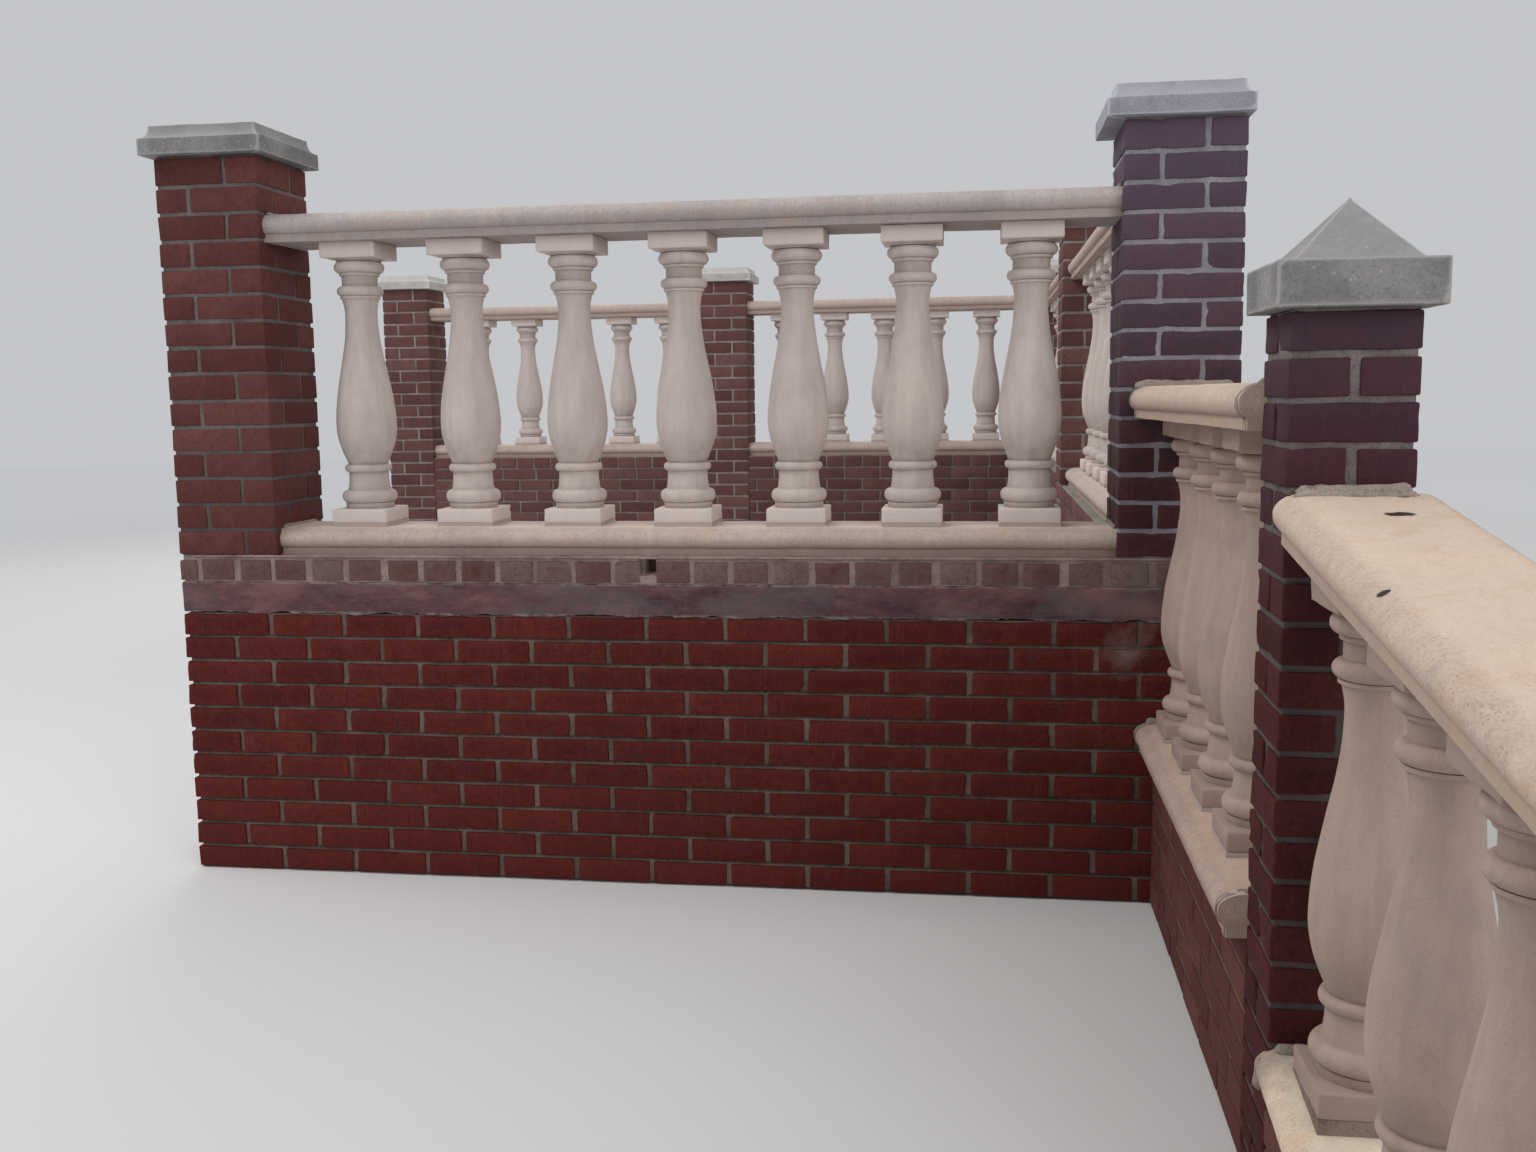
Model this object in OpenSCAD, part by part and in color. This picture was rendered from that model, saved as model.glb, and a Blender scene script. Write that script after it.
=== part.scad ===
// Stone balustrade on brick walls and piers, with a level upper run round three sides
// of a terrace, a lower side bay beside it and a raking bay that follows the steps down.
// The origin lies under the middle of the front bay, at the lowest ground.
// +X runs to the right along the front, +Y towards the back and +Z up.

/* [Bays] */
// Clear length of the front bay between its piers
front_clear = 2248; // [1700:1:3000]
// Clear length of the lower side bay
lower_side_clear = 1240; // [800:1:1600]
// Clear length of the raking bay, measured level
raking_clear = 1166; // [800:1:1600]
// Clear length of the upper side bay next to the front
upper_near_clear = 2104; // [1600:1:3000]
// Clear length of the upper side bay next to the back
upper_far_clear = 2104; // [1600:1:3000]
// Clear length of each bay at the back
rear_clear = 1702; // [1400:1:2300]

/* [Levels] */
// Height of the lower terrace above the lowest ground
terrace_level = 402; // [250:1:600]
// Height of the plain brick courses of the front wall above the lower terrace
front_brick_h = 334; // [200:1:600]
// Height of the smooth rendered band on the front wall
band_h = 87; // [40:1:160]
// Height of the course of brick ends under the front rail
header_h = 72; // [50:1:110]
// Height of the lower side kerb above the lower terrace
kerb_rise = 0; // [0:1:60]
// Drop from the lower terrace to the raking bottom rail where it starts
raking_drop = 107; // [20:1:160]
// Slope of the raking bay in degrees
raking_angle = 7.8; // [4:0.1:10]
// Height that the raking rails leave beyond a baluster's, measured upright
raking_head_room = 27; // [23:1:78]
// Rise of the upper side bay next to the front above the front bay
near_side_rise = 30; // [0:1:90]
// Rise of the bays beyond it and at the back above the front bay
back_rise = 60; // [0:1:120]

/* [Piers] */
// Width of a tall pier and of the walls that meet it
pier_w = 289; // [270:1:400]
// Rise of a tall pier beside the front bay above the top rail
pier_rise = 152; // [60:1:300]
// Rise of the tall piers beyond it above their top rail
back_pier_rise = 116; // [60:1:300]
// Width of a small side pier and of the kerb walls
small_pier_w = 185; // [175:1:260]
// Rise of a small pier above the top rail
small_pier_rise = 106; // [40:1:240]

/* [Pier caps] */
// Reach of a flat cap past the pier on each side
cap_reach = 29; // [10:1:60]
// Height of a flat cap's square edge
cap_edge_h = 44; // [25:1:80]
// Height of the hollow moulding above that edge
cap_cove_h = 34; // [10:1:50]
// Depth of that moulding, from the edge to the flat top
cap_cove_in = 22; // [8:1:28]
// Shift of the front corner pier's cap towards the front bay
corner_cap_shift = 15; // [0:1:20]
// Reach of a pointed cap past the pier on each side
point_reach = 26; // [10:1:50]
// Height of a pointed cap's slab
point_slab_h = 69; // [40:1:120]
// Inset of the pyramid from the edge of its slab
point_inset = 30; // [4:1:40]
// Height of the pyramid
point_h = 97; // [50:1:180]

/* [Rails] */
// Width of a rail across its noses
rail_w = 246; // [235:1:320]
// Height of a rail
rail_h = 76; // [65:1:110]
// Height of the upright strip at the foot of a rail's edge
rail_strip_h = 21; // [8:1:26]
// Height of the small round under the nose
rail_under_h = 25; // [10:1:32]
// Depth that the strip stands back under the nose
rail_set_back = 14; // [6:1:24]
// Reach of the nose's upper round onto the top
rail_round = 45; // [20:1:60]

/* [Balusters] */
// Height of a baluster
baluster_h = 762; // [740:1:800]
// Width of the square blocks at foot and head
block_w = 157; // [150:1:200]
// Height of the foot block
plinth_h = 38; // [30:1:70]
// Height of the head block
abacus_h = 42; // [30:1:70]
// Diameter of the belly
belly_d = 163; // [140:1:175]
// Diameter of the narrowest part under the head
waist_d = 86; // [70:1:98]
// Height of the round that swells out to the belly
swell_h = 106; // [60:1:130]
// Height of the flare from the waist to the collar
flare_h = 42; // [20:1:80]
// Diameter of the body where it starts and where the flare ends
body_end_d = 100; // [88:1:110]
// Diameter of the body's lower end
body_foot_d = 106; // [100:1:124]
// Height of the foot moulding's flat step
foot_step_h = 15; // [6:1:24]
// Diameter of that step
foot_step_d = 130; // [110:1:145]
// Height of the large foot ring
foot_ring_h = 35; // [28:1:56]
// Diameter of the large foot ring
foot_ring_d = 149; // [135:1:155]
// Height of the hollow above the foot ring
hollow_h = 50; // [20:1:56]
// Diameter where the hollow starts
hollow_wide_d = 120; // [110:1:132]
// Diameter where the hollow ends
hollow_narrow_d = 107; // [96:1:120]
// Height of the lower collar ring
low_collar_h = 22; // [16:1:40]
// Diameter of the lower collar ring
low_collar_d = 128; // [122:1:145]
// Height of the upper collar ring
high_collar_h = 28; // [16:1:40]
// Diameter of the upper collar ring
high_collar_d = 125; // [118:1:140]
// Height of the straight neck
neck_h = 29; // [20:1:60]
// Diameter of the straight neck
neck_d = 96; // [88:1:112]
// Height of the head ring
head_ring_h = 32; // [20:1:50]
// Diameter of the head ring
head_ring_d = 134; // [128:1:160]
// Height of the flat steps beside the rings
step_h = 6; // [2:1:8]

/* [Spacing] */
// Balusters in the front bay
front_count = 7; // [5:1:9]
// Balusters in the lower side bay
lower_side_count = 4; // [3:1:5]
// Balusters in the raking bay
raking_count = 4; // [3:1:5]
// Balusters in the near upper side bay
upper_near_count = 6; // [4:1:8]
// Balusters in the far upper side bay
upper_far_count = 6; // [4:1:8]
// Balusters in each bay at the back
rear_count = 5; // [3:1:7]
// Distance from a tall pier to the middle of the first baluster
end_gap = 213; // [120:1:260]
// Distance from the corner pier to the middle of the first baluster in the lower side bay
lower_side_gap = 140; // [110:1:280]
// Distance from the step pier to the middle of the last baluster in the lower side bay
lower_side_near_gap = 265; // [110:1:300]
// Distance from a pier to the middle of the first baluster in the upper side bays
upper_side_gap = 293; // [120:1:340]
// Distance from a pier to the middle of the first baluster in the raking bay
raking_end_gap = 128; // [100:1:160]
// Distance that the small piers' outer faces stand inside the corner pier's
side_inset = 4; // [0:1:20]
// Shift of the lower side bay towards the terrace
lower_side_shift = 17; // [0:1:40]
// Further shift of that bay's top rail towards the terrace
lower_top_shift = 10; // [0:1:20]
// Turn of that top rail out of line with the piers, in degrees
lower_side_turn = 1.8; // [0:0.1:3]
// Shift of the raking bay away from the terrace
raking_shift = 15; // [0:1:30]
// Thickness of the mortar bed under a level baluster
bed_h = 9; // [3:1:15]
// Distance from the outer pier to the middle of the last baluster in each bay at the back
rear_outer_gap = 287; // [120:1:320]
// Thickness of the mortar wedge under a raking baluster at its thin edge
wedge_h = 2; // [1:1:12]

/* [Hidden] */
$fn = 48;
steps = 8;
body_steps = 20;
brick_colour = [0.44, 0.16, 0.13];
band_colour = [0.36, 0.21, 0.19];
header_colour = [0.40, 0.26, 0.20];
stone_colour = [0.84, 0.78, 0.70];
mortar_colour = [0.62, 0.58, 0.54];

// Faces of the tall piers beside the front bay
left_face_x = -front_clear / 2;
right_face_x = front_clear / 2;

// Middles of the tall piers
corner_x = right_face_x + pier_w / 2;
upper_pier_y = pier_w + upper_near_clear;
back_y = upper_pier_y + pier_w + upper_far_clear;
rear_step = rear_clear + pier_w;

// Middles of the small piers, flush with the outer face of the front corner pier
side_x = right_face_x + pier_w - small_pier_w / 2 - side_inset;
lower_x = side_x - lower_side_shift;
raking_x = side_x + raking_shift;
step_pier_y = -pier_w / 2 - lower_side_clear - small_pier_w / 2;
end_pier_y = step_pier_y - raking_clear - small_pier_w;
raking_start_y = step_pier_y - small_pier_w / 2;

// Levels of the upper runs
wall_top = terrace_level + front_brick_h + band_h + header_h;
bed_z = wall_top + rail_h;
top_rail_z = bed_z + bed_h + baluster_h;
pier_top = top_rail_z + rail_h + pier_rise;
back_pier_top = top_rail_z + rail_h + back_rise + back_pier_rise;

// Levels of the lower side bay
kerb_top = terrace_level + kerb_rise;
side_rail_z = kerb_top + rail_h + bed_h + baluster_h;
step_pier_top = side_rail_z + rail_h + small_pier_rise;

// Levels of the raking bay, at the face of the step pier
raking_slope = tan(raking_angle);
raking_rail_h = rail_h / cos(raking_angle);
raking_low_top = terrace_level - raking_drop;
raking_gap = baluster_h + raking_head_room;
raking_high_top = raking_low_top + raking_gap + raking_rail_h;
end_pier_top = raking_high_top - raking_clear * raking_slope + small_pier_rise;

// Outline points of the turned shaft, as radius and height

// A ring: half an ellipse that stands out from edge_d to out_d
function ring(z, h, edge_d, out_d) = [for (i = [0 : steps])
    [edge_d / 2 + (out_d - edge_d) / 2 * sin(180 * i / steps), z + h * (1 - cos(180 * i / steps)) / 2]];

// A hollow: a quarter ellipse that leaves low_d level and ends upright at high_d
function hollow(z, h, low_d, high_d) = [for (i = [0 : steps])
    [high_d / 2 + (low_d - high_d) / 2 * (1 - sin(90 * i / steps)), z + h * (1 - cos(90 * i / steps))]];

// A swell: a quarter wave from low_d out to high_d
function swell(z, h, low_d, high_d) = [for (i = [0 : steps])
    [low_d / 2 + (high_d - low_d) / 2 * sin(90 * i / steps), z + h * i / steps]];

// A taper: half a wave that is upright at both ends
function taper(z, h, low_d, high_d) = [for (i = [1 : body_steps])
    [low_d / 2 + (high_d - low_d) / 2 * (1 - cos(180 * i / body_steps)) / 2, z + h * i / body_steps]];

// A flare: a quarter wave from low_d, upright there, out to high_d
function flare(z, h, low_d, high_d) = [for (i = [1 : steps])
    [low_d / 2 + (high_d - low_d) / 2 * (1 - cos(90 * i / steps)), z + h * i / steps]];

// Heights of the mouldings, from the foot up
foot_ring_z = plinth_h + foot_step_h;
hollow_z = foot_ring_z + foot_ring_h;
low_collar_z = hollow_z + hollow_h;
swell_z = low_collar_z + low_collar_h;
taper_z = swell_z + swell_h;
head_ring_z = baluster_h - abacus_h - step_h - head_ring_h;
neck_z = head_ring_z - step_h - neck_h;
high_collar_z = neck_z - high_collar_h;
flare_z = high_collar_z - step_h - flare_h;

shaft_outline = concat(
    [[0, plinth_h / 2], [foot_step_d / 2, plinth_h / 2], [foot_step_d / 2, foot_ring_z]],
    ring(foot_ring_z, foot_ring_h, hollow_wide_d, foot_ring_d),
    hollow(hollow_z, hollow_h, hollow_wide_d, hollow_narrow_d),
    ring(low_collar_z, low_collar_h, body_foot_d, low_collar_d),
    swell(swell_z, swell_h, body_foot_d, belly_d),
    taper(taper_z, flare_z - taper_z, belly_d, waist_d),
    flare(flare_z, flare_h, waist_d, body_end_d),
    [[neck_d / 2 + step_h, high_collar_z - step_h], [neck_d / 2 + step_h, high_collar_z]],
    ring(high_collar_z, high_collar_h, neck_d, high_collar_d),
    [[neck_d / 2, neck_z + neck_h], [neck_d / 2 + step_h, neck_z + neck_h], [neck_d / 2 + step_h, head_ring_z]],
    ring(head_ring_z, head_ring_h, neck_d, head_ring_d),
    [[neck_d / 2 + 2 * step_h, baluster_h - abacus_h - step_h],
        [neck_d / 2 + 2 * step_h, baluster_h - abacus_h / 2], [0, baluster_h - abacus_h / 2]]);

module shaft() {
    rotate_extrude() polygon(shaft_outline);
}

// Square block centred on the baluster
module block(z, h) {
    translate([-block_w / 2, -block_w / 2, z]) cube([block_w, block_w, h]);
}

module baluster() {
    color(stone_colour) union() {
        block(0, plinth_h);
        shaft();
        block(baluster_h - abacus_h, abacus_h);
    }
}

// Place of baluster i in a bay, measured from the bay's start
function place(i, count, clear, first, last) = first + i * (clear - first - last) / (count - 1);

// Rail cross-section, flat on top, with a round nose over a small round and an upright strip
function nose() = concat(
    [for (i = [0 : steps]) [rail_w / 2 - rail_set_back * (1 - sin(90 * i / steps)),
        rail_strip_h + rail_under_h * (1 - cos(90 * i / steps))]],
    [for (i = [1 : steps]) [rail_w / 2 - rail_round * (1 - cos(90 * i / steps)),
        rail_strip_h + rail_under_h + (rail_h - rail_strip_h - rail_under_h) * sin(90 * i / steps)]]);

module rail_section() {
    right_edge = concat([[rail_w / 2 - rail_set_back, 0]], nose());
    count = len(right_edge);
    left_edge = [for (i = [count - 1 : -1 : 0]) [-right_edge[i][0], right_edge[i][1]]];
    polygon(concat(right_edge, left_edge));
}

// Rail along X from start_x
module rail_x(start_x, y, z, length) {
    color(stone_colour) translate([start_x, y, z]) rotate([90, 0, 90]) linear_extrude(length) rail_section();
}

// Rail along Y from start_y
module rail_y(x, start_y, z, length) {
    color(stone_colour) translate([x, start_y + length, z]) rotate([90, 0, 0])
        linear_extrude(length) rail_section();
}

// Row along X or along Y of whatever stands at each baluster's place
module row_x(start_x, y, z, count, clear, first, last) {
    for (i = [0 : count - 1])
        translate([start_x + place(i, count, clear, first, last), y, z]) children();
}

module row_y(x, start_y, z, count, clear, first, last) {
    for (i = [0 : count - 1])
        translate([x, start_y + place(i, count, clear, first, last), z]) children();
}

// Mortar bed under a level baluster
module bed() {
    color(mortar_colour) block(0, bed_h);
}

// Square brick pier standing on the lowest ground
module pier(x, y, w, h) {
    color(brick_colour) translate([x - w / 2, y - w / 2, 0]) cube([w, w, h]);
}

// Square moulded solid: one side outline carried along both axes and mitred
module mitred(w) {
    intersection() {
        translate([0, w / 2, 0]) rotate([90, 0, 0]) linear_extrude(w) children();
        translate([-w / 2, 0, 0]) rotate([90, 0, 90]) linear_extrude(w) children();
    }
}

// Flat cap: square edge, then a hollow moulding up to a flat top
module flat_cap(x, y, z) {
    wide = pier_w / 2 + cap_reach;
    side = concat([[wide, 0], [wide, cap_edge_h]],
        [for (i = [1 : steps]) [wide - cap_cove_in * sin(90 * i / steps),
            cap_edge_h + cap_cove_h * (1 - cos(90 * i / steps))]]);
    last = len(side) - 1;
    color(stone_colour) translate([x, y, z]) mitred(2 * wide)
        polygon(concat(side, [for (i = [last : -1 : 0]) [-side[i][0], side[i][1]]]));
}

// Pointed cap: slab with a low pyramid set in from its edge
module pointed_cap(x, y, z) {
    wide = small_pier_w / 2 + point_reach;
    foot = wide - point_inset;
    color(stone_colour) translate([x, y, z]) mitred(2 * wide)
        polygon([[-wide, 0], [wide, 0], [wide, point_slab_h], [foot, point_slab_h],
            [0, point_slab_h + point_h], [-foot, point_slab_h], [-wide, point_slab_h]]);
}

// Front bay
module front_wall() {
    color(brick_colour) translate([left_face_x, -pier_w / 2, 0])
        cube([front_clear, pier_w, terrace_level + front_brick_h]);
}

module front_band() {
    color(band_colour) translate([left_face_x, -pier_w / 2, terrace_level + front_brick_h])
        cube([front_clear, pier_w, band_h]);
}

module front_header_course() {
    color(header_colour) translate([left_face_x, -pier_w / 2, wall_top - header_h])
        cube([front_clear, pier_w, header_h]);
}

module front_bottom_rail() {
    rail_x(left_face_x, 0, wall_top, front_clear);
}

module front_baluster(number) {
    translate([left_face_x + place(number - 1, front_count, front_clear, end_gap, end_gap), 0, bed_z + bed_h])
        baluster();
}

module front_top_rail() {
    rail_x(left_face_x, 0, top_rail_z, front_clear);
}

// Lower side bay, from the front corner pier to the step pier
lower_side_start = -pier_w / 2 - lower_side_clear;

module lower_side_kerb() {
    color(brick_colour) translate([side_x - small_pier_w / 2, lower_side_start, 0])
        cube([small_pier_w, lower_side_clear, kerb_top]);
}

module lower_side_bottom_rail() {
    rail_y(lower_x, lower_side_start, kerb_top, lower_side_clear);
}

// Places of the level balusters of the lower side bay, for balusters and beds alike
module lower_side_row(z) {
    row_y(lower_x, lower_side_start, z, lower_side_count, lower_side_clear,
        lower_side_near_gap, lower_side_gap) children();
}

module lower_side_balusters() {
    lower_side_row(kerb_top + rail_h + bed_h) baluster();
}

// Top rail turned a little about the middle of the bay, cut square at both piers
module lower_side_top_rail() {
    overrun = rail_w;
    middle_y = lower_side_start + lower_side_clear / 2;
    intersection() {
        translate([lower_x - lower_top_shift, middle_y, 0]) rotate([0, 0, lower_side_turn])
            rail_y(0, -lower_side_clear / 2 - overrun, side_rail_z, lower_side_clear + 2 * overrun);
        translate([lower_x - rail_w, lower_side_start, side_rail_z])
            cube([2 * rail_w, lower_side_clear, rail_h]);
    }
}

// Raking bay: height of the bottom rail's top at a place along Y
function raking_z(y) = raking_low_top - (raking_start_y - y) * raking_slope;

function raking_y(i) = raking_start_y - place(i, raking_count, raking_clear, raking_end_gap, raking_end_gap);

// Side outline carried across X, given as Y and Z
module across(x, w) {
    translate([x - w / 2, 0, 0]) rotate([90, 0, 90]) linear_extrude(w) children();
}

module raking_kerb() {
    end_y = raking_start_y - raking_clear;
    color(brick_colour) across(side_x, small_pier_w)
        polygon([[end_y, 0], [raking_start_y, 0],
            [raking_start_y, raking_z(raking_start_y) - raking_rail_h],
            [end_y, raking_z(end_y) - raking_rail_h]]);
}

// Rail laid on the slope, with its top at top_z by the step pier, cut upright at both piers
module raking_rail(top_z) {
    overrun = rail_h;
    length = raking_clear / cos(raking_angle) + 2 * overrun;
    end_y = raking_start_y - raking_clear;
    color(stone_colour) intersection() {
        translate([raking_x, raking_start_y, top_z]) rotate([raking_angle, 0, 0])
            translate([0, overrun, -rail_h]) rotate([90, 0, 0]) linear_extrude(length) rail_section();
        translate([raking_x - rail_w, end_y, 0]) cube([2 * rail_w, raking_clear, top_z + rail_h]);
    }
}

module raking_bottom_rail() {
    raking_rail(raking_low_top);
}

module raking_top_rail() {
    raking_rail(raking_high_top);
}

// Level seat of raking baluster i, at the thin edge of its wedge
function seat_z(i) = raking_z(raking_y(i) + block_w / 2) + wedge_h;

module raking_wedge(i) {
    near_y = raking_y(i) - block_w / 2;
    far_y = raking_y(i) + block_w / 2;
    color(mortar_colour) across(raking_x, block_w)
        polygon([[near_y, raking_z(near_y)], [far_y, raking_z(far_y)], [far_y, seat_z(i)], [near_y, seat_z(i)]]);
}

// Baluster whose head block runs up to the slope of the rail above
module raking_baluster(i) {
    near_y = raking_y(i) - block_w / 2;
    far_y = raking_y(i) + block_w / 2;
    head_z = seat_z(i) + baluster_h - abacus_h;
    color(stone_colour) union() {
        translate([raking_x, raking_y(i), seat_z(i)]) {
            block(0, plinth_h);
            shaft();
        }
        across(raking_x, block_w)
            polygon([[near_y, head_z], [far_y, head_z],
                [far_y, raking_z(far_y) + raking_gap], [near_y, raking_z(near_y) + raking_gap]]);
    }
}

module raking_balusters() {
    for (i = [0 : raking_count - 1]) raking_baluster(i);
}

// Upper side run, from the front corner pier to the back corner pier
near_start = pier_w / 2;
far_start = upper_pier_y + pier_w / 2;

module upper_side_walls() {
    color(brick_colour) {
        translate([corner_x - pier_w / 2, near_start, 0])
            cube([pier_w, upper_near_clear, wall_top + near_side_rise]);
        translate([corner_x - pier_w / 2, far_start, 0])
            cube([pier_w, upper_far_clear, wall_top + back_rise]);
    }
}

module upper_side_rails(z) {
    rail_y(corner_x, near_start, z + near_side_rise, upper_near_clear);
    rail_y(corner_x, far_start, z + back_rise, upper_far_clear);
}

module upper_side_bottom_rails() {
    upper_side_rails(wall_top);
}

module upper_side_rows(z) {
    row_y(corner_x, near_start, z + near_side_rise, upper_near_count, upper_near_clear,
        upper_side_gap, upper_side_gap) children();
    row_y(corner_x, far_start, z + back_rise, upper_far_count, upper_far_clear,
        upper_side_gap, upper_side_gap) children();
}

module upper_side_balusters() {
    upper_side_rows(bed_z + bed_h) baluster();
}

module upper_side_top_rails() {
    upper_side_rails(top_rail_z);
}

// Run at the back, two equal bays to the left of the back corner pier
function rear_start(bay) = corner_x - bay * rear_step + pier_w / 2;

module rear_walls() {
    for (bay = [1, 2])
        color(brick_colour) translate([rear_start(bay), back_y - pier_w / 2, 0])
            cube([rear_clear, pier_w, wall_top + back_rise]);
}

module rear_bottom_rails() {
    for (bay = [1, 2]) rail_x(rear_start(bay), back_y, wall_top + back_rise, rear_clear);
}

// The outer gap lies beside the back corner pier and beside the end pier at the back
module rear_rows(z) {
    row_x(rear_start(1), back_y, z + back_rise, rear_count, rear_clear, end_gap, rear_outer_gap) children();
    row_x(rear_start(2), back_y, z + back_rise, rear_count, rear_clear, rear_outer_gap, end_gap) children();
}

module rear_balusters() {
    rear_rows(bed_z + bed_h) baluster();
}

module rear_top_rails() {
    for (bay = [1, 2]) rail_x(rear_start(bay), back_y, top_rail_z + back_rise, rear_clear);
}

// Mortar under every baluster: level beds, and the wedges on the slope
module mortar_beds() {
    row_x(left_face_x, 0, bed_z, front_count, front_clear, end_gap, end_gap) bed();
    lower_side_row(kerb_top + rail_h) bed();
    upper_side_rows(bed_z) bed();
    rear_rows(bed_z) bed();
    for (i = [0 : raking_count - 1]) raking_wedge(i);
}

// Piers and their caps
left_x = left_face_x - pier_w / 2;
rear_middle_x = corner_x - rear_step;
rear_end_x = corner_x - 2 * rear_step;

module left_pier() { pier(left_x, 0, pier_w, pier_top); }
module left_pier_cap() { flat_cap(left_x, 0, pier_top); }
module corner_pier() { pier(corner_x, 0, pier_w, pier_top); }
module corner_pier_cap() { flat_cap(corner_x - corner_cap_shift, 0, pier_top); }
module step_pier() { pier(side_x, step_pier_y, small_pier_w, step_pier_top); }
module step_pier_cap() { pointed_cap(side_x, step_pier_y, step_pier_top); }
module end_pier() { pier(side_x, end_pier_y, small_pier_w, end_pier_top); }
module end_pier_cap() { pointed_cap(side_x, end_pier_y, end_pier_top); }
module upper_side_pier() { pier(corner_x, upper_pier_y, pier_w, back_pier_top); }
module upper_side_pier_cap() { flat_cap(corner_x, upper_pier_y, back_pier_top); }
module back_corner_pier() { pier(corner_x, back_y, pier_w, back_pier_top); }
module back_corner_pier_cap() { flat_cap(corner_x, back_y, back_pier_top); }
module rear_middle_pier() { pier(rear_middle_x, back_y, pier_w, back_pier_top); }
module rear_middle_pier_cap() { flat_cap(rear_middle_x, back_y, back_pier_top); }
module rear_end_pier() { pier(rear_end_x, back_y, pier_w, back_pier_top); }
module rear_end_pier_cap() { flat_cap(rear_end_x, back_y, back_pier_top); }

front_wall();
front_band();
front_header_course();
front_bottom_rail();
for (number = [1 : front_count])
    front_baluster(number);
front_top_rail();
lower_side_kerb();
lower_side_bottom_rail();
lower_side_balusters();
lower_side_top_rail();
raking_kerb();
raking_bottom_rail();
mortar_beds();
raking_balusters();
raking_top_rail();
upper_side_walls();
upper_side_bottom_rails();
upper_side_balusters();
upper_side_top_rails();
rear_walls();
rear_bottom_rails();
rear_balusters();
rear_top_rails();
left_pier();
left_pier_cap();
corner_pier();
corner_pier_cap();
step_pier();
step_pier_cap();
end_pier();
end_pier_cap();
upper_side_pier();
upper_side_pier_cap();
back_corner_pier();
back_corner_pier_cap();
rear_middle_pier();
rear_middle_pier_cap();
rear_end_pier();
rear_end_pier_cap();
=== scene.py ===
"""Looks of the stone balustrade: brickwork laid brick by brick, cast rails, turned balusters and caps."""
import math

import bpy
import numpy as np
from mathutils import Matrix, Vector


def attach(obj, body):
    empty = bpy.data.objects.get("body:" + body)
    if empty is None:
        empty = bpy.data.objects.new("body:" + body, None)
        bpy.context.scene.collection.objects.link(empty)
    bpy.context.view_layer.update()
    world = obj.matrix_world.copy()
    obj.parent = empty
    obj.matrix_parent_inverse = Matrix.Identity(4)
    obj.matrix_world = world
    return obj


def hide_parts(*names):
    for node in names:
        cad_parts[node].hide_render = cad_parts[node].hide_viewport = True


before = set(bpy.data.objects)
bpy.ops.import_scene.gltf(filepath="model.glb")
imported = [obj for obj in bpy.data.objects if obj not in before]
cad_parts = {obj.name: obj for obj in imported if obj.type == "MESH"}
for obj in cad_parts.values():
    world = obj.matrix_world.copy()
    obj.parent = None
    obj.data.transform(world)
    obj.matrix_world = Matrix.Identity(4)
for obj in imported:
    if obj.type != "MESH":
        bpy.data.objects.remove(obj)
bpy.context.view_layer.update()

# Sizes in metres, as the part has them

# Sides of the tall and the small piers, half the opening of the front bay, and the outer face of its piers
PIER, SMALL = 0.289, 0.185
FACE, SMALL_HALF = PIER / 2, SMALL / 2
BAY = 1.124
RUN = BAY + PIER
# Middles of the piers and of the rails beside the steps, and clear lengths of the far bays
CORNER_X, LEFT_X = 1.2685, -1.2685
SIDE_X, LOWER_X, RAKING_X = 1.3165, 1.2995, 1.3315
STEP_Y, END_Y = -1.477, -2.828
UPPER_Y, BACK_Y = 2.393, 4.786
REAR_MIDDLE_X, REAR_END_X = -0.7225, -2.7135
REAR_CLEAR, UPPER_CLEAR = 1.702, 2.104
# Levels on the front wall, and how far the far bays rise over it
TERRACE, BAND_LOW, HEADER_LOW, WALL_TOP = 0.402, 0.736, 0.823, 0.895
NEAR_RISE, BACK_RISE = 0.03, 0.06
# Mortar bed, rail and baluster, and what the balusters and the top rails stand on
BED, RAIL, RAIL_HALF, STRIP_HALF = 0.009, 0.076, 0.123, 0.109
BALUSTER, BLOCK, PLINTH, ABACUS = 0.762, 0.157, 0.038, 0.042
SEAT, LOW_SEAT = WALL_TOP + RAIL + BED, TERRACE + RAIL + BED
TOP_RAIL, LOW_TOP_RAIL = SEAT + BALUSTER, LOW_SEAT + BALUSTER
# Ends of the lower side bay and the turn of its top rail
LOW_START, LOW_END = STEP_Y + SMALL_HALF, -FACE
LOW_TURN = math.tan(math.radians(1.8))
# Heights of the piers without their caps
PIER_TOP, BACK_PIER_TOP = 1.97, 1.994
STEP_PIER_TOP, END_PIER_TOP = 1.431, 1.10698
# Raking bay: slope, ends, top of its bottom rail at the step pier, gap between the rails, and upright height
# of a rail
SLOPE_ANGLE = math.radians(7.8)
RAKE_START, RAKE_END = -1.5695, -2.7355
RAKE_LOW_TOP, RAKE_GAP = 0.295, 0.789
RAKE_RAIL = RAIL / math.cos(SLOPE_ANGLE)

# Bricks: width, length in a pier, usual joint, half the gap between two leaves, and radius of a worn edge
LEAF, LONG, JOINT, HALF_GAP, BRICK_EDGE = 0.092, 0.192, 0.01, 0.005, 0.0032
# How far mortar stays off the floor and behind brick faces, and how far a rail runs into the masonry
FLOOR_GAP, INSET, PIER_INSET, TUCK = 0.0005, 0.008, 0.004, 0.006

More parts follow.
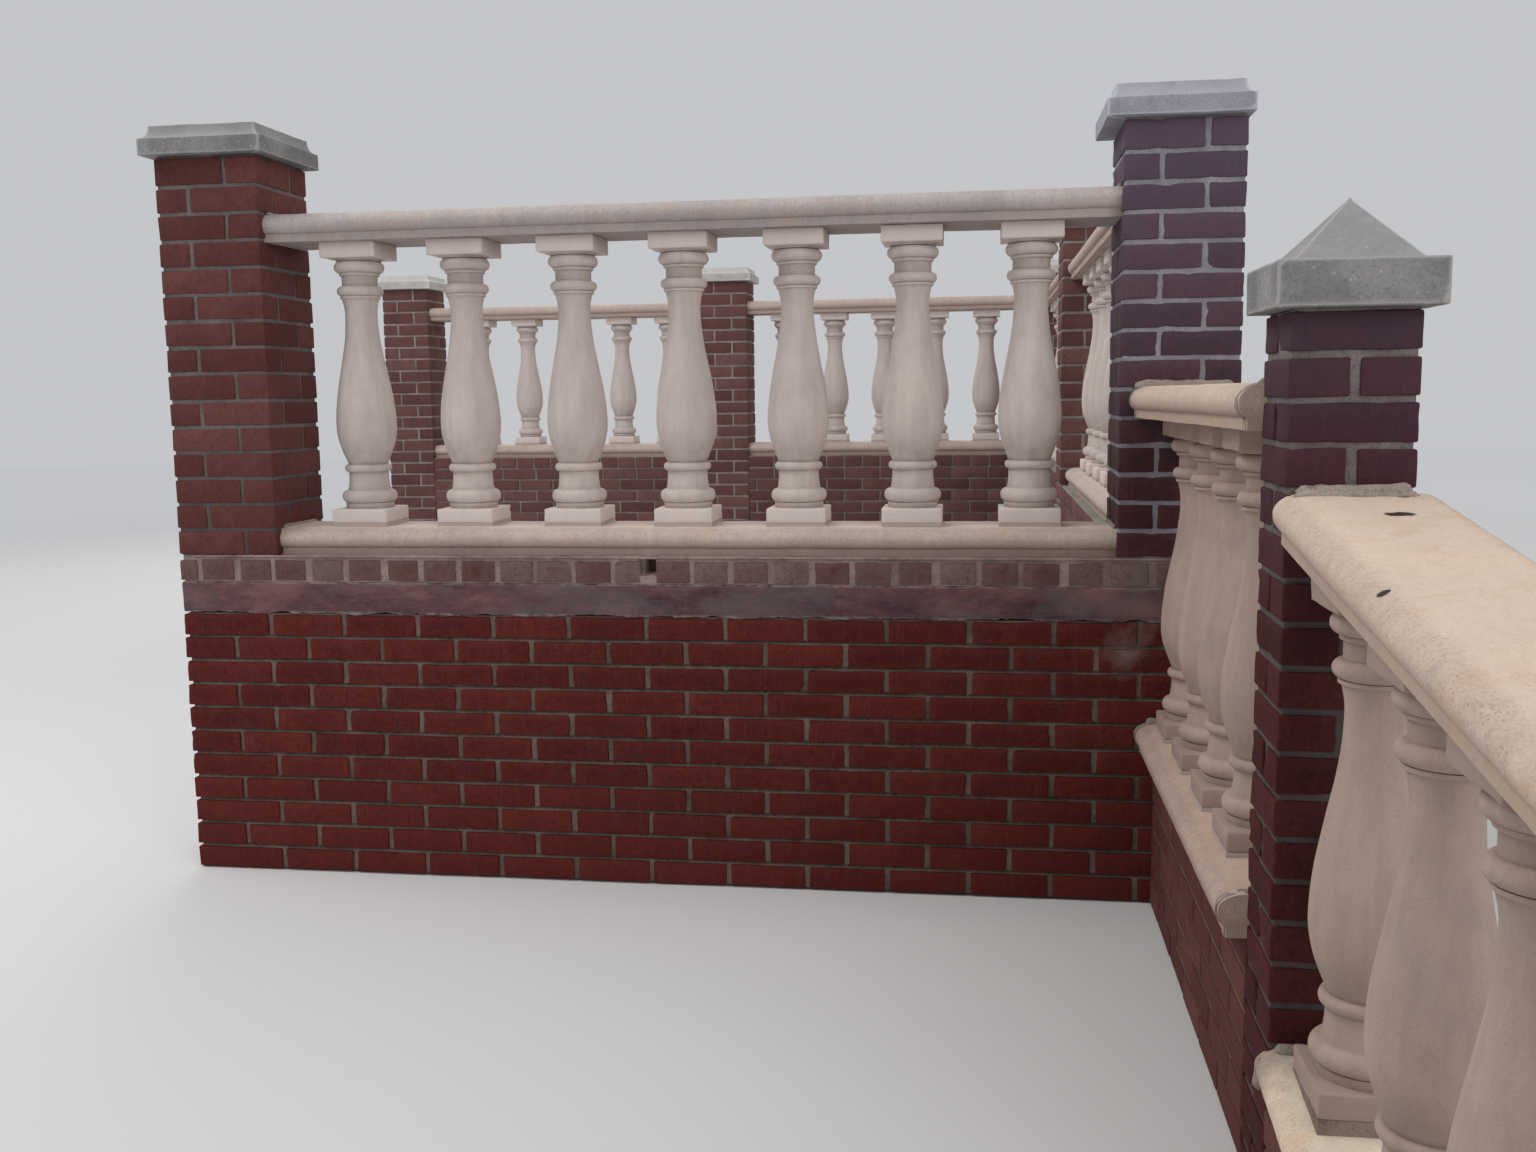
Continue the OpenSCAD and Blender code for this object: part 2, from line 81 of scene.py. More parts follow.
# Far bays: axis, start, end, line that the bay stands on, and its rise over the front bay
far_bays = {"upper_side": [("y", start, start + UPPER_CLEAR, CORNER_X, rise)
                           for start, rise in ((FACE, NEAR_RISE), (UPPER_Y + FACE, BACK_RISE))],
            "rear": [("x", start, start + REAR_CLEAR, BACK_Y, BACK_RISE)
                     for start in (REAR_MIDDLE_X + FACE, REAR_END_X + FACE)]}
back_piers = {"upper_side_pier": (CORNER_X, UPPER_Y), "back_corner_pier": (CORNER_X, BACK_Y),
              "rear_middle_pier": (REAR_MIDDLE_X, BACK_Y), "rear_end_pier": (REAR_END_X, BACK_Y)}


def rake_z(y):
    """Top of the raking bottom rail at y: a straight fall from the step pier's face."""
    return RAKE_LOW_TOP - (RAKE_START - y) * math.tan(SLOPE_ANGLE)


def rake_foot(y):
    """Underside of the raking bottom rail at y."""
    return rake_z(y) - RAKE_RAIL


def rake_head(y):
    """Underside of the raking top rail at y."""
    return rake_z(y) + RAKE_GAP


def lower_top_line(y):
    """Middle of the lower side bay's top rail at y, which turns by 1.8 degrees."""
    return LOWER_X - 0.01 - (y - (LOW_START + LOW_END) / 2) * LOW_TURN


# Mesh tools


def columns(*values):
    """Numbers and arrays beside each other, along a new last axis."""
    return np.stack(np.broadcast_arrays(*values), -1)


def lump(points, size, seed):
    """Smooth noise from -1 to 1: random values on a lattice of the given size, blended along each axis
    with t*t*(3-2t)."""
    count = 24
    table = np.random.default_rng(seed).uniform(-1, 1, (count, count, count))
    place = np.asarray(points) / size
    low = np.floor(place).astype(int)
    t = place - low
    t = t * t * (3 - 2 * t)
    value = 0
    for corner in np.ndindex(2, 2, 2):
        i, j, k = np.moveaxis((low + corner) % count, -1, 0)
        value = value + np.where(corner, t, 1 - t).prod(-1) * table[i, j, k]
    return value


def lumps(points, size, seed):
    """Three smooth noises side by side, one for each axis."""
    return columns(*(lump(points, size, seed + i) for i in range(3)))


def stitch(rows, cols):
    """Quads between neighbouring rows of a grid: rows go up and columns run round counter-clockwise."""
    r, c = np.arange(rows - 1)[:, None], np.arange(cols)[None]
    n = (c + 1) % cols
    return columns(r * cols + c, r * cols + n, (r + 1) * cols + n, (r + 1) * cols + c).reshape(-1, 4)


def tube(rows, cols):
    """Faces of a tube: the quads of its skin and one flat face at each end."""
    ring = np.arange(cols)[None]
    return [stitch(rows, cols), ring[:, ::-1], ring + (rows - 1) * cols]


def pointed(rows, cols):
    """Faces of a tube that closes on the two points after its grid: quads, and a fan at each end."""
    c, count = np.arange(cols), rows * cols
    n = (c + 1) % cols
    last = count - cols
    return [stitch(rows, cols), np.vstack([columns(count, n, c), columns(last + c, last + n, count + 1)])]


def box_net(nx, ny, nz):
    """Surface points of an index grid of nx by ny by nz cells, and the quads of its six sides."""
    shape = (nx + 1, ny + 1, nz + 1)
    grid = np.indices(shape)
    on = (grid[0] % nx == 0) | (grid[1] % ny == 0) | (grid[2] % nz == 0)
    number = np.full(shape, -1)
    number[on] = np.arange(on.sum())

    def side(a):
        """Quads between the neighbouring numbers of one side."""
        return columns(a[:-1, :-1], a[1:, :-1], a[1:, 1:], a[:-1, 1:]).reshape(-1, 4)

    quads = [side(number[:, :, nz]), side(number[:, ::-1, 0]), side(number[:, 0, :]),
             side(number[::-1, ny, :]), side(number[nx, :, :]), side(number[0, ::-1, :])]
    return grid[:, on].T, np.array([nx, ny, nz]), np.vstack(quads)


def blocks(boxes, radius, cells, tones=0.0):
    """Blocks with rounded edges, one for each row (x0, y0, z0, x1, y1, z1) of boxes.
    A grid point P on the plain box is drawn in to Q, the nearest point of the core that is smaller by the
    radius all round, and the block's point is Q + radius * (P - Q) / |P - Q|."""
    grid, counts, quads = box_net(*cells)
    boxes = np.atleast_2d(boxes)
    low, high = boxes[:, None, :3], boxes[:, None, 3:]
    half, middle = (high - low) / 2, (high + low) / 2
    radius = np.minimum(radius, half.min(axis=2, keepdims=True) * 0.9)
    core = half - radius
    across = 2 * (grid - 1) / np.maximum(counts - 2, 1) - 1
    plain = np.where(grid == 0, -half, np.where(grid == counts, half, across * core))
    nearest = np.clip(plain, -core, core)
    away = plain - nearest
    points = middle + nearest + radius * away / np.linalg.norm(away, axis=2, keepdims=True)
    rim = (grid == 0) | (grid == counts) | (grid == 1) | (grid == counts - 1)
    edge = np.clip(rim.sum(1) - 1, 0, 1).astype(float)
    faces = (quads[None] + len(grid) * np.arange(len(boxes))[:, None, None]).reshape(-1, 4)
    marks = {"tone": np.repeat(np.broadcast_to(tones, len(boxes)), len(grid)),
             "edge": np.tile(edge, len(boxes))}
    return points.reshape(-1, 3), faces, marks, np.repeat(middle[:, 0], len(grid), axis=0)


def build(name, parts, material, node=None, crease=38):
    """Mesh object from parts, each one its points, a list of face arrays and values per point. It stands for
    the node where one is named, and edges sharper than the crease, in degrees, stay sharp."""
    faces, base = [], 0
    for points, arrays, _ in parts:
        for array in arrays:
            faces += (array + base).tolist()
        base += len(points)
    mesh = bpy.data.meshes.new(name)
    mesh.from_pydata(np.vstack([part[0] for part in parts]).tolist(), [], faces, shade_flat=False)
    mesh.validate()
    for key in parts[0][2]:
        layer = mesh.attributes.new(key, "FLOAT", "POINT")
        layer.data.foreach_set("value", np.concatenate([part[2][key] for part in parts]).astype(np.float32))
    mesh.set_sharp_from_angle(angle=math.radians(crease))
    mesh.materials.append(material)
    piece = bpy.data.objects.new(name, mesh)
    bpy.context.scene.collection.objects.link(piece)
    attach(piece, "root")
    if node:
        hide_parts(node)


def masonry(node, parts, material):
    """Bricks that stand for the node."""
    build(node + "_bricks", parts, material, node)


def stone(node, parts, material, crease=38):
    """Cast stone that stands for the node."""
    build(node + "_stone", parts, material, node, crease)


# Materials


class Finish:
    """A material whose colour is laid on in coats, and short ways to add its nodes. Noise and cells count
    their waves per metre, and bumps are in metres."""

    def __init__(self, name):
        """An empty material whose patterns lie on object coordinates."""
        self.material = bpy.data.materials.new(name)
        self.material.use_nodes = True
        self.tree = self.material.node_tree
        self.shader = self.tree.nodes["Principled BSDF"]
        self.place = self.node("TexCoord").outputs["Object"]
        self.colour = None

    def node(self, kind, values=None, links=None, **settings):
        """A new node of the kind, with values and links on its inputs."""
        new = self.tree.nodes.new("ShaderNode" + kind)
        for key, value in settings.items():
            setattr(new, key, value)
        for key, value in (values or {}).items():
            new.inputs[key].default_value = value
        for key, socket in (links or {}).items():
            self.tree.links.new(socket, new.inputs[key])
        return new

    def axis(self, number):
        """x, y or z of the place, for 0, 1 or 2."""
        return self.node("SeparateXYZ", links={0: self.place}).outputs[number]

    def value(self, name):
        """A value that the mesh holds at its points."""
        return self.node("Attribute", attribute_name=name).outputs["Fac"]

    def noise(self, scale, detail, rough=0.55, stretch=None, twist=0.0):
        """Smooth noise at the place, whose axes a stretch multiplies first."""
        place = self.place
        if stretch:
            place = self.node("Mapping", {"Scale": stretch}, {"Vector": place}).outputs[0]
        values = {"Scale": scale, "Detail": detail, "Roughness": rough, "Distortion": twist}
        return self.node("TexNoise", values, {"Vector": place}).outputs[0]

    def cells(self, scale, place=None):
        """Cells round scattered points: the distance to the nearest point, and a colour for each cell."""
        return self.node("TexVoronoi", {"Scale": scale}, {"Vector": place or self.place}).outputs

    def span(self, value, low, high, to_low=0.0, to_high=1.0):
        """The value from low to high drawn out from to_low to to_high, and level beyond both."""
        return self.node("MapRange", {1: low, 2: high, 3: to_low, 4: to_high}, {0: value}).outputs[0]

    def math(self, kind, a, b=0.5):
        """The sum, product or other kind of result of a and b, each a number or a socket."""
        new = self.node("Math", operation=kind)
        for i, value in enumerate((a, b)):
            if isinstance(value, (int, float)):
                new.inputs[i].default_value = value
            else:
                self.tree.links.new(value, new.inputs[i])
        return new.outputs[0]

    def vector(self, kind, values, links):
        """The kind of result of vectors."""
        return self.node("VectorMath", values, links, operation=kind).outputs

    def grains(self, scale, push, size, channel, few):
        """Mask of ragged grains: cells on object coordinates that noise pushes about, within a range of size,
        and only the few of them that a channel of the cell's colour picks."""
        noise = self.node("TexNoise", {"Scale": 180.0, "Detail": 3.0}, {"Vector": self.place})
        pushed = self.vector("MULTIPLY", {1: (push, push, push)}, {0: noise.outputs["Color"]})[0]
        cell = self.cells(scale, self.vector("ADD", {}, {0: self.place, 1: pushed})[0])
        pick = self.node("SeparateColor", links={0: cell["Color"]}).outputs[channel]
        return self.math("MULTIPLY", self.span(cell["Distance"], *size), self.span(pick, *few))

    def spot(self, centre, spread, ragged, scale):
        """Distance from a centre in units of the spread, made ragged by noise."""
        away = self.vector("SUBTRACT", {1: centre}, {0: self.place})[0]
        away = self.vector("MULTIPLY", {1: tuple(1 / s for s in spread)}, {0: away})[0]
        length = self.vector("LENGTH", {}, {0: away})["Value"]
        return self.math("ADD", length, self.math("MULTIPLY", self.noise(scale, 6, 0.7), ragged))

    def ground(self, value, *stops):
        """First coat: a colour ramp over the value."""
        ramp = self.node("ValToRGB", links={0: value})
        points = ramp.color_ramp.elements
        for i, (position, colour) in enumerate(stops):
            point = points[i] if i < 2 else points.new(position)
            point.position, point.color = position, (*colour, 1)
        self.colour = ramp.outputs[0]

    def coat(self, tint, mask, most=1.0):
        """A tint over the colour so far, in the share that the mask times most gives."""
        share = mask if most == 1.0 else self.math("MULTIPLY", mask, most)
        mix = self.node("Mix", {7: (*tint, 1)}, {0: share, 6: self.colour}, data_type="RGBA")
        self.colour = mix.outputs[2]

    def paint(self, tint, value, low, high, most=1.0):
        """A tint over the colour so far, in a share that grows as the value goes from low to high."""
        self.coat(tint, self.span(value, low, high, 0.0, most))

    def limed(self, most):
        """Whitish lime that has run over the right end of the front wall."""
        for centre, spread in (((1.15, -FACE, 0.66), (0.05, 0.05, 0.06)),
                               ((1.19, -FACE, 0.795), (0.045, 0.05, 0.085))):
            self.paint((0.25, 0.19, 0.175), self.spot(centre, spread, 2.2, 26.0), 2.35, 1.25, most)

    def done(self, cloud, smooth, rough, *bumps):
        """Colour, roughness that follows the clouds, and bumps as (height, distance) one over the other."""
        self.tree.links.new(self.colour, self.shader.inputs["Base Color"])
        self.tree.links.new(self.span(cloud, 0.3, 0.7, smooth, rough), self.shader.inputs["Roughness"])
        self.shader.inputs["Specular IOR Level"].default_value = 0.2
        links = {}
        for height, distance in bumps:
            links["Height"] = height
            links["Normal"] = self.node("Bump", {"Strength": 1.0, "Distance": distance}, links).outputs[0]
        self.tree.links.new(links["Normal"], self.shader.inputs["Normal"])
        return self.material


def tinge(colour, share, lift=0.0):
    """A colour times a share plus a lift, no paler than 0.8."""
    return tuple(np.minimum(np.multiply(colour, share) + lift, 0.8))


def brick_finish(name, dark, middle, light, painted_haze=None, lime=False, wire_cut=0.0, bloom=0.3, vary=0.5):
    """Fired brick: a tone for each brick, cloudy burning, purple-grey bloom, pale and dark specks, drag marks
    and rough faces; painted highlight pales the edges, and a painted haze of glare pales it with height."""
    f = Finish(name)
    cloud = f.noise(13, 6, 0.6)
    own = f.math("MULTIPLY", f.math("SUBTRACT", f.value("tone"), 0.5), vary)
    burning = f.math("ADD", f.math("ADD", own, f.math("MULTIPLY", cloud, 0.6)), 0.25)
    f.ground(burning, (0.26, dark), (0.54, middle), (0.82, light))
    f.paint(tinge(middle, 0.5, (0.035, 0.026, 0.036)), f.noise(21, 6, 0.68, twist=0.7), 0.5, 0.7, bloom)
    speck = f.noise(210, 4, 0.65)
    f.paint(tinge(dark, 0.4), speck, 0.46, 0.3, 0.5)
    f.paint(tinge(light, 0.35, 0.09), speck, 0.6, 0.74, 0.5)
    f.paint(tinge(dark, 0.6), f.noise(62, 6, 0.72, twist=0.5), 0.5, 0.34, 0.55)
    drag = f.noise(42, 5, 0.65, (3.2, 3.2, 0.3))
    f.paint(tinge(light, 0.5, (0.035, 0.04, 0.045)), drag, 0.56, 0.74, 0.42)
    # Painted highlight: the brick edges are paler.
    f.coat(light, f.value("edge"), 0.2)
    # Painted haze of glare: the brick turns paler and greyer as it rises.
    if painted_haze:
        low, high, tint, most = painted_haze
        f.paint(tint, f.axis(2), low, high, most)
    if lime:
        f.limed(0.55)
    bumps = [(f.noise(70, 6, 0.65), 0.0016), (speck, 0.0006)]
    if wire_cut:
        bumps.append((f.noise(60, 4, 0.6, (5.0, 5.0, 0.35)), wire_cut))
    return f.done(cloud, 0.78, 0.95, *bumps)


def mortar_finish(name, dark, light, depth=0.0022, lime=False, course=0.0, level=None, low_shade=False):
    """Gritty mortar: cloudy grey-beige with dark sand grains and small hollows. With a course height, painted
    shadow darkens the upper half of each bed joint, under the brick above. With a level colour, beds behind
    the raking bay take it. When the flag for low shade is set, painted shade darkens it below 1.1 m."""
    f = Finish(name)
    cloud, grain, pits = f.noise(11, 7, 0.62), f.noise(330, 3, 0.7), f.noise(85, 6, 0.7)
    f.ground(cloud, (0.3, dark), (0.7, light))
    f.paint(tinge(dark, 0.4), grain, 0.42, 0.68, 0.45)
    f.paint(tinge(dark, 0.35), pits, 0.46, 0.3, 0.6)
    # Painted shade: the mortar darkens below 1.1 m.
    if low_shade:
        f.paint(tinge(light, 0.22), f.axis(2), 1.25, 0.95, 0.62)
    if level:
        f.paint(level, f.axis(1), RAKE_START - 0.02, RAKE_START + 0.02)
    # Painted shadow: the upper half of each bed joint darkens where the brick above shades it.
    if course:
        turn = f.math("ADD", f.math("DIVIDE", f.axis(2), course), 0.5)
        rise = f.math("SUBTRACT", f.math("FRACT", turn), 0.5)
        bed = f.math("MULTIPLY", f.span(rise, -0.035, 0.03), f.span(rise, 0.12, 0.09))
        f.coat(tinge(dark, 0.16), f.math("MULTIPLY", bed, f.span(pits, 0.3, 0.6, 0.9, 0.5)))
    if lime:
        f.limed(0.7)
    return f.done(cloud, 0.85, 0.97, (pits, depth), (grain, 0.0008))


def stone_finish(name, cool, middle, warm, blocks=None, shade=0.42, scars=(), stains=()):
    """Cast stone: slow warm and cool clouds, faint upright streaks, specks and pinholes. Balusters name the
    strength of their end blocks' colour, and their value for dirt and shade lays painted shade in their
    hollows and at their foot, and dirt under the belly. On rails the rise value lays painted shade, as strong
    as the shade, on the foot and painted light on the top; scars are dark chips and stains are soft dirt."""
    f = Finish(name)
    rails = blocks is None
    cloud = f.noise(5.5, 6, 0.6, twist=0.4)
    f.ground(cloud, (0.3, cool), (0.5, middle), (0.72, warm))
    f.paint(tinge(cool, 0.6), f.noise(9, 5, 0.6, (4.5, 4.5, 0.5)), 0.42, 0.72, 0.3)
    fine = f.noise(260, 5, 0.75)
    f.paint(tinge(warm, 0.5), fine, 0.5, 0.63, 0.5 if rails else 0.2)
    if rails:
        sand = f.noise(115, 5, 0.8)
        f.paint(tinge(cool, 0.55), sand, 0.54, 0.66, 0.4)
        f.paint(tinge(warm, 1.15), sand, 0.46, 0.34, 0.35)
    holes = f.cells(190 if rails else 150)["Distance"]
    pits = f.math("MULTIPLY", f.span(holes, 0.26, 0.08), f.span(f.noise(24, 3, 0.5), 0.4, 0.6))
    f.coat(tinge(warm, 0.3), pits, 0.55 if rails else 0.14)
    if rails:
        rise = f.value("rise")
        # Painted shade on the upright strip under the nose, as strong as the shade, and painted light on the
        # top.
        f.paint(tinge(cool, (0.66, 0.58, 0.56)), rise, 0.62, 0.28, shade)
        f.paint(tinge(warm, 1.22), rise, 0.93, 1.0, 0.45)
        blotch = f.noise(12, 7, 0.72, twist=0.8)
        f.paint(tinge(warm, (0.86, 0.7, 0.55)), blotch, 0.52, 0.68, 0.42)
    else:
        # Painted shade in the hollows and at the foot, and dirt under the belly, in patches.
        patchy = f.span(f.noise(30, 5, 0.7), 0.25, 0.6, 0.45, 1.0)
        f.coat((0.23, 0.17, 0.135), f.math("MULTIPLY", f.value("dirt_and_shade"), patchy))
        f.coat(tinge(middle, blocks), f.value("block"), 0.6)
    bumps = [(f.noise(46, 6, 0.62), 0.0012), (fine, 0.0004),
             (f.math("SUBTRACT", 1.0, pits), 0.0007 if rails else 0.0003)]
    for centre, spread in stains:
        f.paint((0.2, 0.155, 0.125), f.spot(centre, spread, 1.6, 30.0), 2.0, 0.9, 0.7)
    for centre, spread in scars:
        chip = f.span(f.spot(centre, spread, 1.4, 75.0), 1.85, 1.6)
        f.coat((0.045, 0.026, 0.021), chip)
        bumps.append((f.math("SUBTRACT", 1.0, chip), 0.003))
    return f.done(cloud, 0.7, 0.88, *bumps)


def cap_finish(name, dark, middle, light, flecks=0.3):
    """Concrete with small dark pebbles and white flecks; painted highlight pales its edges and painted light
    pales its crown.
    """
    f = Finish(name)
    cloud, mottle = f.noise(8, 7, 0.62), f.noise(150, 6, 0.8)
    f.ground(cloud, (0.32, dark), (0.5, middle), (0.74, light))
    f.paint(tinge(dark, 0.5), mottle, 0.47, 0.34, 0.5)
    f.paint(light, mottle, 0.56, 0.7, 0.35)
    f.coat(tinge(dark, 0.45), f.grains(260, 0.004, (0.5, 0.2), 0, (0.6, 0.7)), 0.35)
    f.coat((0.74, 0.73, 0.7), f.grains(95, 0.006, (0.3, 0.14), 1, (0.8, 0.84)), flecks)
    # Painted highlight on the edges and painted light on the crown.
    f.coat(tinge(light, 1.15), f.math("POWER", f.value("edge"), 5.0), 0.8)
    f.coat(tinge(light, 1.25), f.value("crown"), 0.42)
    return f.done(cloud, 0.8, 0.95, (f.noise(60, 6, 0.7), 0.0016), (f.noise(260, 4, 0.7), 0.0006))


def band_finish():
    """Smooth render: purple-brown with grey-blue and pink clouds, trowel marks and scuffs, and a thin broken
    white line along its foot and its head."""
    f = Finish("band_render")
    cloud = f.noise(5.0, 7, 0.62, (1.0, 1.0, 2.2))
    f.ground(cloud, (0.36, (0.068, 0.034, 0.043)), (0.5, (0.125, 0.058, 0.066)), (0.62, (0.205, 0.096, 0.1)))
    blue = f.noise(4.2, 6, 0.62, (1.0, 1.0, 1.8))
    pink = f.noise(19, 6, 0.72, (1.0, 1.0, 1.6))
    trowel = f.noise(26, 6, 0.7, (0.7, 0.7, 5.0))
    scuff = f.noise(90, 5, 0.75)
    f.paint((0.135, 0.112, 0.112), blue, 0.5, 0.62, 0.6)
    f.paint((0.205, 0.078, 0.08), pink, 0.54, 0.68, 0.6)
    f.paint((0.2, 0.15, 0.15), trowel, 0.52, 0.72, 0.35)
    f.paint((0.19, 0.13, 0.125), scuff, 0.56, 0.7, 0.4)
    f.paint((0.03, 0.018, 0.022), scuff, 0.44, 0.3, 0.4)
    broken = f.span(f.noise(30, 5, 0.7), 0.44, 0.56)
    for clear, white in ((BAND_LOW + 0.008, BAND_LOW + 0.002), (HEADER_LOW - 0.006, HEADER_LOW - 0.001)):
        f.coat((0.33, 0.27, 0.25), f.math("MULTIPLY", f.span(f.axis(2), clear, white), broken), 0.7)
    f.limed(0.3)
    return f.done(cloud, 0.62, 0.85, (f.noise(30, 6, 0.6), 0.002), (f.noise(170, 4, 0.6), 0.0006))


# The front wall's brick colours are darkened to stand for the shade on that wall: painted shade.
wall_brick = brick_finish("wall_brick", (0.052, 0.007, 0.0065), (0.098, 0.012, 0.0095), (0.15, 0.024, 0.016),
                          lime=True, bloom=0.42, vary=0.3)
# The tall and small pier bricks are darkened as painted shade on the piers' low parts, and their painted haze
# of glare pales them towards the top.
pier_brick = brick_finish("pier_brick", (0.036, 0.011, 0.014), (0.064, 0.02, 0.023), (0.097, 0.038, 0.04),
                          painted_haze=(1.05, 2.0, (0.155, 0.135, 0.205), 0.44), wire_cut=0.0008)
small_pier_brick = brick_finish("small_pier_brick", (0.034, 0.0055, 0.0065), (0.063, 0.0095, 0.0105),
                                (0.094, 0.021, 0.021), painted_haze=(0.9, 1.45, (0.07, 0.052, 0.078), 0.55),
                                wire_cut=0.0014, bloom=0.2)
plain_brick = brick_finish("plain_brick", (0.062, 0.016, 0.015), (0.112, 0.032, 0.029), (0.172, 0.064, 0.056))
far_brick = brick_finish("far_brick", (0.07, 0.026, 0.025), (0.135, 0.056, 0.052), (0.195, 0.098, 0.09))
header_brick = brick_finish("header_brick", (0.105, 0.036, 0.033), (0.15, 0.078, 0.071), (0.2, 0.138, 0.126),
                            lime=True, wire_cut=0.0016, bloom=0.5, vary=0.85)
wall_mortar = mortar_finish("wall_mortar", (0.125, 0.088, 0.072), (0.285, 0.212, 0.172), lime=True,
                            course=0.06691)
pier_mortar = mortar_finish("pier_mortar", (0.12, 0.098, 0.097), (0.25, 0.21, 0.205), low_shade=True)
# Paler, bluish mortar for the corner pier: a painted haze of glare.
glare_mortar = mortar_finish("glare_mortar", (0.22, 0.205, 0.235), (0.35, 0.335, 0.375))
far_mortar = mortar_finish("far_mortar", (0.22, 0.19, 0.175), (0.38, 0.345, 0.32))
header_mortar = mortar_finish("header_mortar", (0.22, 0.15, 0.138), (0.43, 0.318, 0.295), lime=True)
bead_mortar = mortar_finish("bead_mortar", (0.25, 0.2, 0.17), (0.48, 0.4, 0.35), 0.004)
bed_mortar = mortar_finish("bed_mortar", (0.19, 0.142, 0.118), (0.4, 0.318, 0.268), 0.003,
                           level=(0.5, 0.43, 0.395))
baluster_stone = stone_finish("baluster_stone", (0.55, 0.47, 0.45), (0.62, 0.535, 0.5), (0.66, 0.565, 0.51),
                              blocks=1.24)
# A darker copy of the baluster stone for the balusters beside the steps: painted shade, with end blocks
# darker still.
shaded_side_stone = stone_finish("shaded_side_stone", (0.385, 0.296, 0.258), (0.44, 0.33, 0.28), (0.48, 0.355, 0.292),
                          blocks=0.78)
rail_stone = stone_finish("rail_stone", (0.5, 0.41, 0.375), (0.58, 0.475, 0.425), (0.63, 0.51, 0.44),
                          shade=0.62)
top_rail_stone = stone_finish("top_rail_stone", (0.43, 0.385, 0.385), (0.5, 0.445, 0.435),
                              (0.55, 0.48, 0.455))
side_rail_stone = stone_finish("side_rail_stone", (0.45, 0.333, 0.283), (0.52, 0.385, 0.325),
                               (0.57, 0.42, 0.345))
# Paler copy of the rail stone for the raking bottom rail: painted light on its west face, with only a little
# painted shade on its foot; the stain is dirt.
low_raking_stone = stone_finish("low_raking_stone", (0.75, 0.59, 0.48), (0.8, 0.63, 0.51), (0.82, 0.65, 0.52),
                                shade=0.2, stains=(((RAKING_X - 0.12, RAKE_START, RAKE_LOW_TOP - 0.02),
                                                    (0.1, 0.08, 0.09)),))
raking_stone = stone_finish("raking_stone", (0.56, 0.45, 0.375), (0.63, 0.5, 0.415), (0.69, 0.53, 0.425),
                            shade=0.62, scars=(((1.3475, -1.7065, 1.142), (0.019, 0.011, 0.02)),
                                               ((1.3835, -1.5905, 1.158), (0.008, 0.006, 0.02)),
                                               ((1.226, -2.08, 1.075), (0.007, 0.007, 0.04))))
cap_stone = cap_finish("cap_stone", (0.165, 0.16, 0.166), (0.225, 0.22, 0.226), (0.35, 0.34, 0.33))
# Paler, bluish cap stone for the corner pier: a painted haze of glare.
glare_cap = cap_finish("glare_cap", (0.25, 0.255, 0.3), (0.31, 0.315, 0.365), (0.43, 0.43, 0.47), 0.15)
pale_cap = cap_finish("pale_cap", (0.4, 0.385, 0.37), (0.5, 0.485, 0.465), (0.62, 0.6, 0.57))
band_render = band_finish()

# Brickwork


def leaf(axis, start, end, beds, near, far, first=0.0, pitch=0.2127, joint=JOINT):
    """One leaf of a wall along an axis, with head joints every pitch from first, and every other course moved
    by half a pitch. No brick at an end is shorter than 45 mm."""
    rows = []
    for k, (low, high) in enumerate(zip(beds[:-1], beds[1:])):
        shifted = first + (k % 2) * pitch / 2
        joints = shifted + pitch * np.arange(math.floor((start - shifted) / pitch),
                                             math.ceil((end - shifted) / pitch) + 1)
        joints = joints[(joints > start + 0.045) & (joints < end - 0.045)]
        a, b = np.append(start, joints + joint / 2), np.append(joints - joint / 2, end)
        z0, z1 = low + joint / 2, high - joint / 2
        rows.append(columns(a, near, z0, b, far, z1) if axis == "x" else columns(near, a, z0, far, b, z1))
    return np.vstack(rows)


def courses(low, high, height):
    """Levels of bed joints from low to high, in equal courses nearest to the height."""
    return np.linspace(low, high, int(round((high - low) / height)) + 1)


def wall(axis, start, end, middle, top):
    """Both leaves of a wall of stretchers, with a row of brick ends two deep on top."""
    beds = courses(0, top - 0.07, 0.067)
    near, far = middle - FACE, middle + FACE
    ends = [leaf(axis, start, end, [beds[-1], top], a, b, pitch=0.107, joint=0.009)
            for a, b in ((near, middle - HALF_GAP), (middle + HALF_GAP, far))]
    return np.vstack([leaf(axis, start, end, beds, near, near + LEAF),
                      leaf(axis, start, end, beds, far - LEAF, far, 0.05)] + ends)


def kerb(start, end, beds, firsts):
    """Two thin leaves of a kerb beside each other."""
    return np.vstack([leaf("y", start, end, beds, SIDE_X - SMALL_HALF, SIDE_X - HALF_GAP, firsts[0]),
                      leaf("y", start, end, beds, SIDE_X + HALF_GAP, SIDE_X + SMALL_HALF, firsts[1])])


def pinwheel(joint=JOINT):
    """Plans (x0, y0, x1, y1) of a tall pier's courses: four bricks round a hollow, and the same mirrored."""
    h, long = FACE, LONG
    d = PIER - joint - long
    plan = np.array([[-h, -h, -h + long, -h + d], [h - d, -h, h, -h + long],
                     [h - long, h - d, h, h], [-h, h - long, -h + d, h]])
    x0, y0, x1, y1 = plan.T
    return plan, columns(-x1, y0, -x0, y1)


def turned_pair():
    """Plans of a small pier's courses: two bricks side by side, and the same turned by a quarter."""
    h, j = SMALL_HALF, 0.0075
    return np.array([[-h, -h, h, -j], [-h, j, h, h]]), np.array([[-h, -h, -j, h], [j, -h, h, h]])


def pier(x, y, beds, plans, flip=0, joint=JOINT):
    """Boxes of a pier's bricks: its two plans take turns from course to course."""
    rows = []
    for k, (low, high) in enumerate(zip(beds[:-1], beds[1:])):
        x0, y0, x1, y1 = plans[(k + flip) % 2].T
        rows.append(columns(x + x0, y + y0, low + joint / 2, x + x1, y + y1, high - joint / 2))
    return np.vstack(rows)


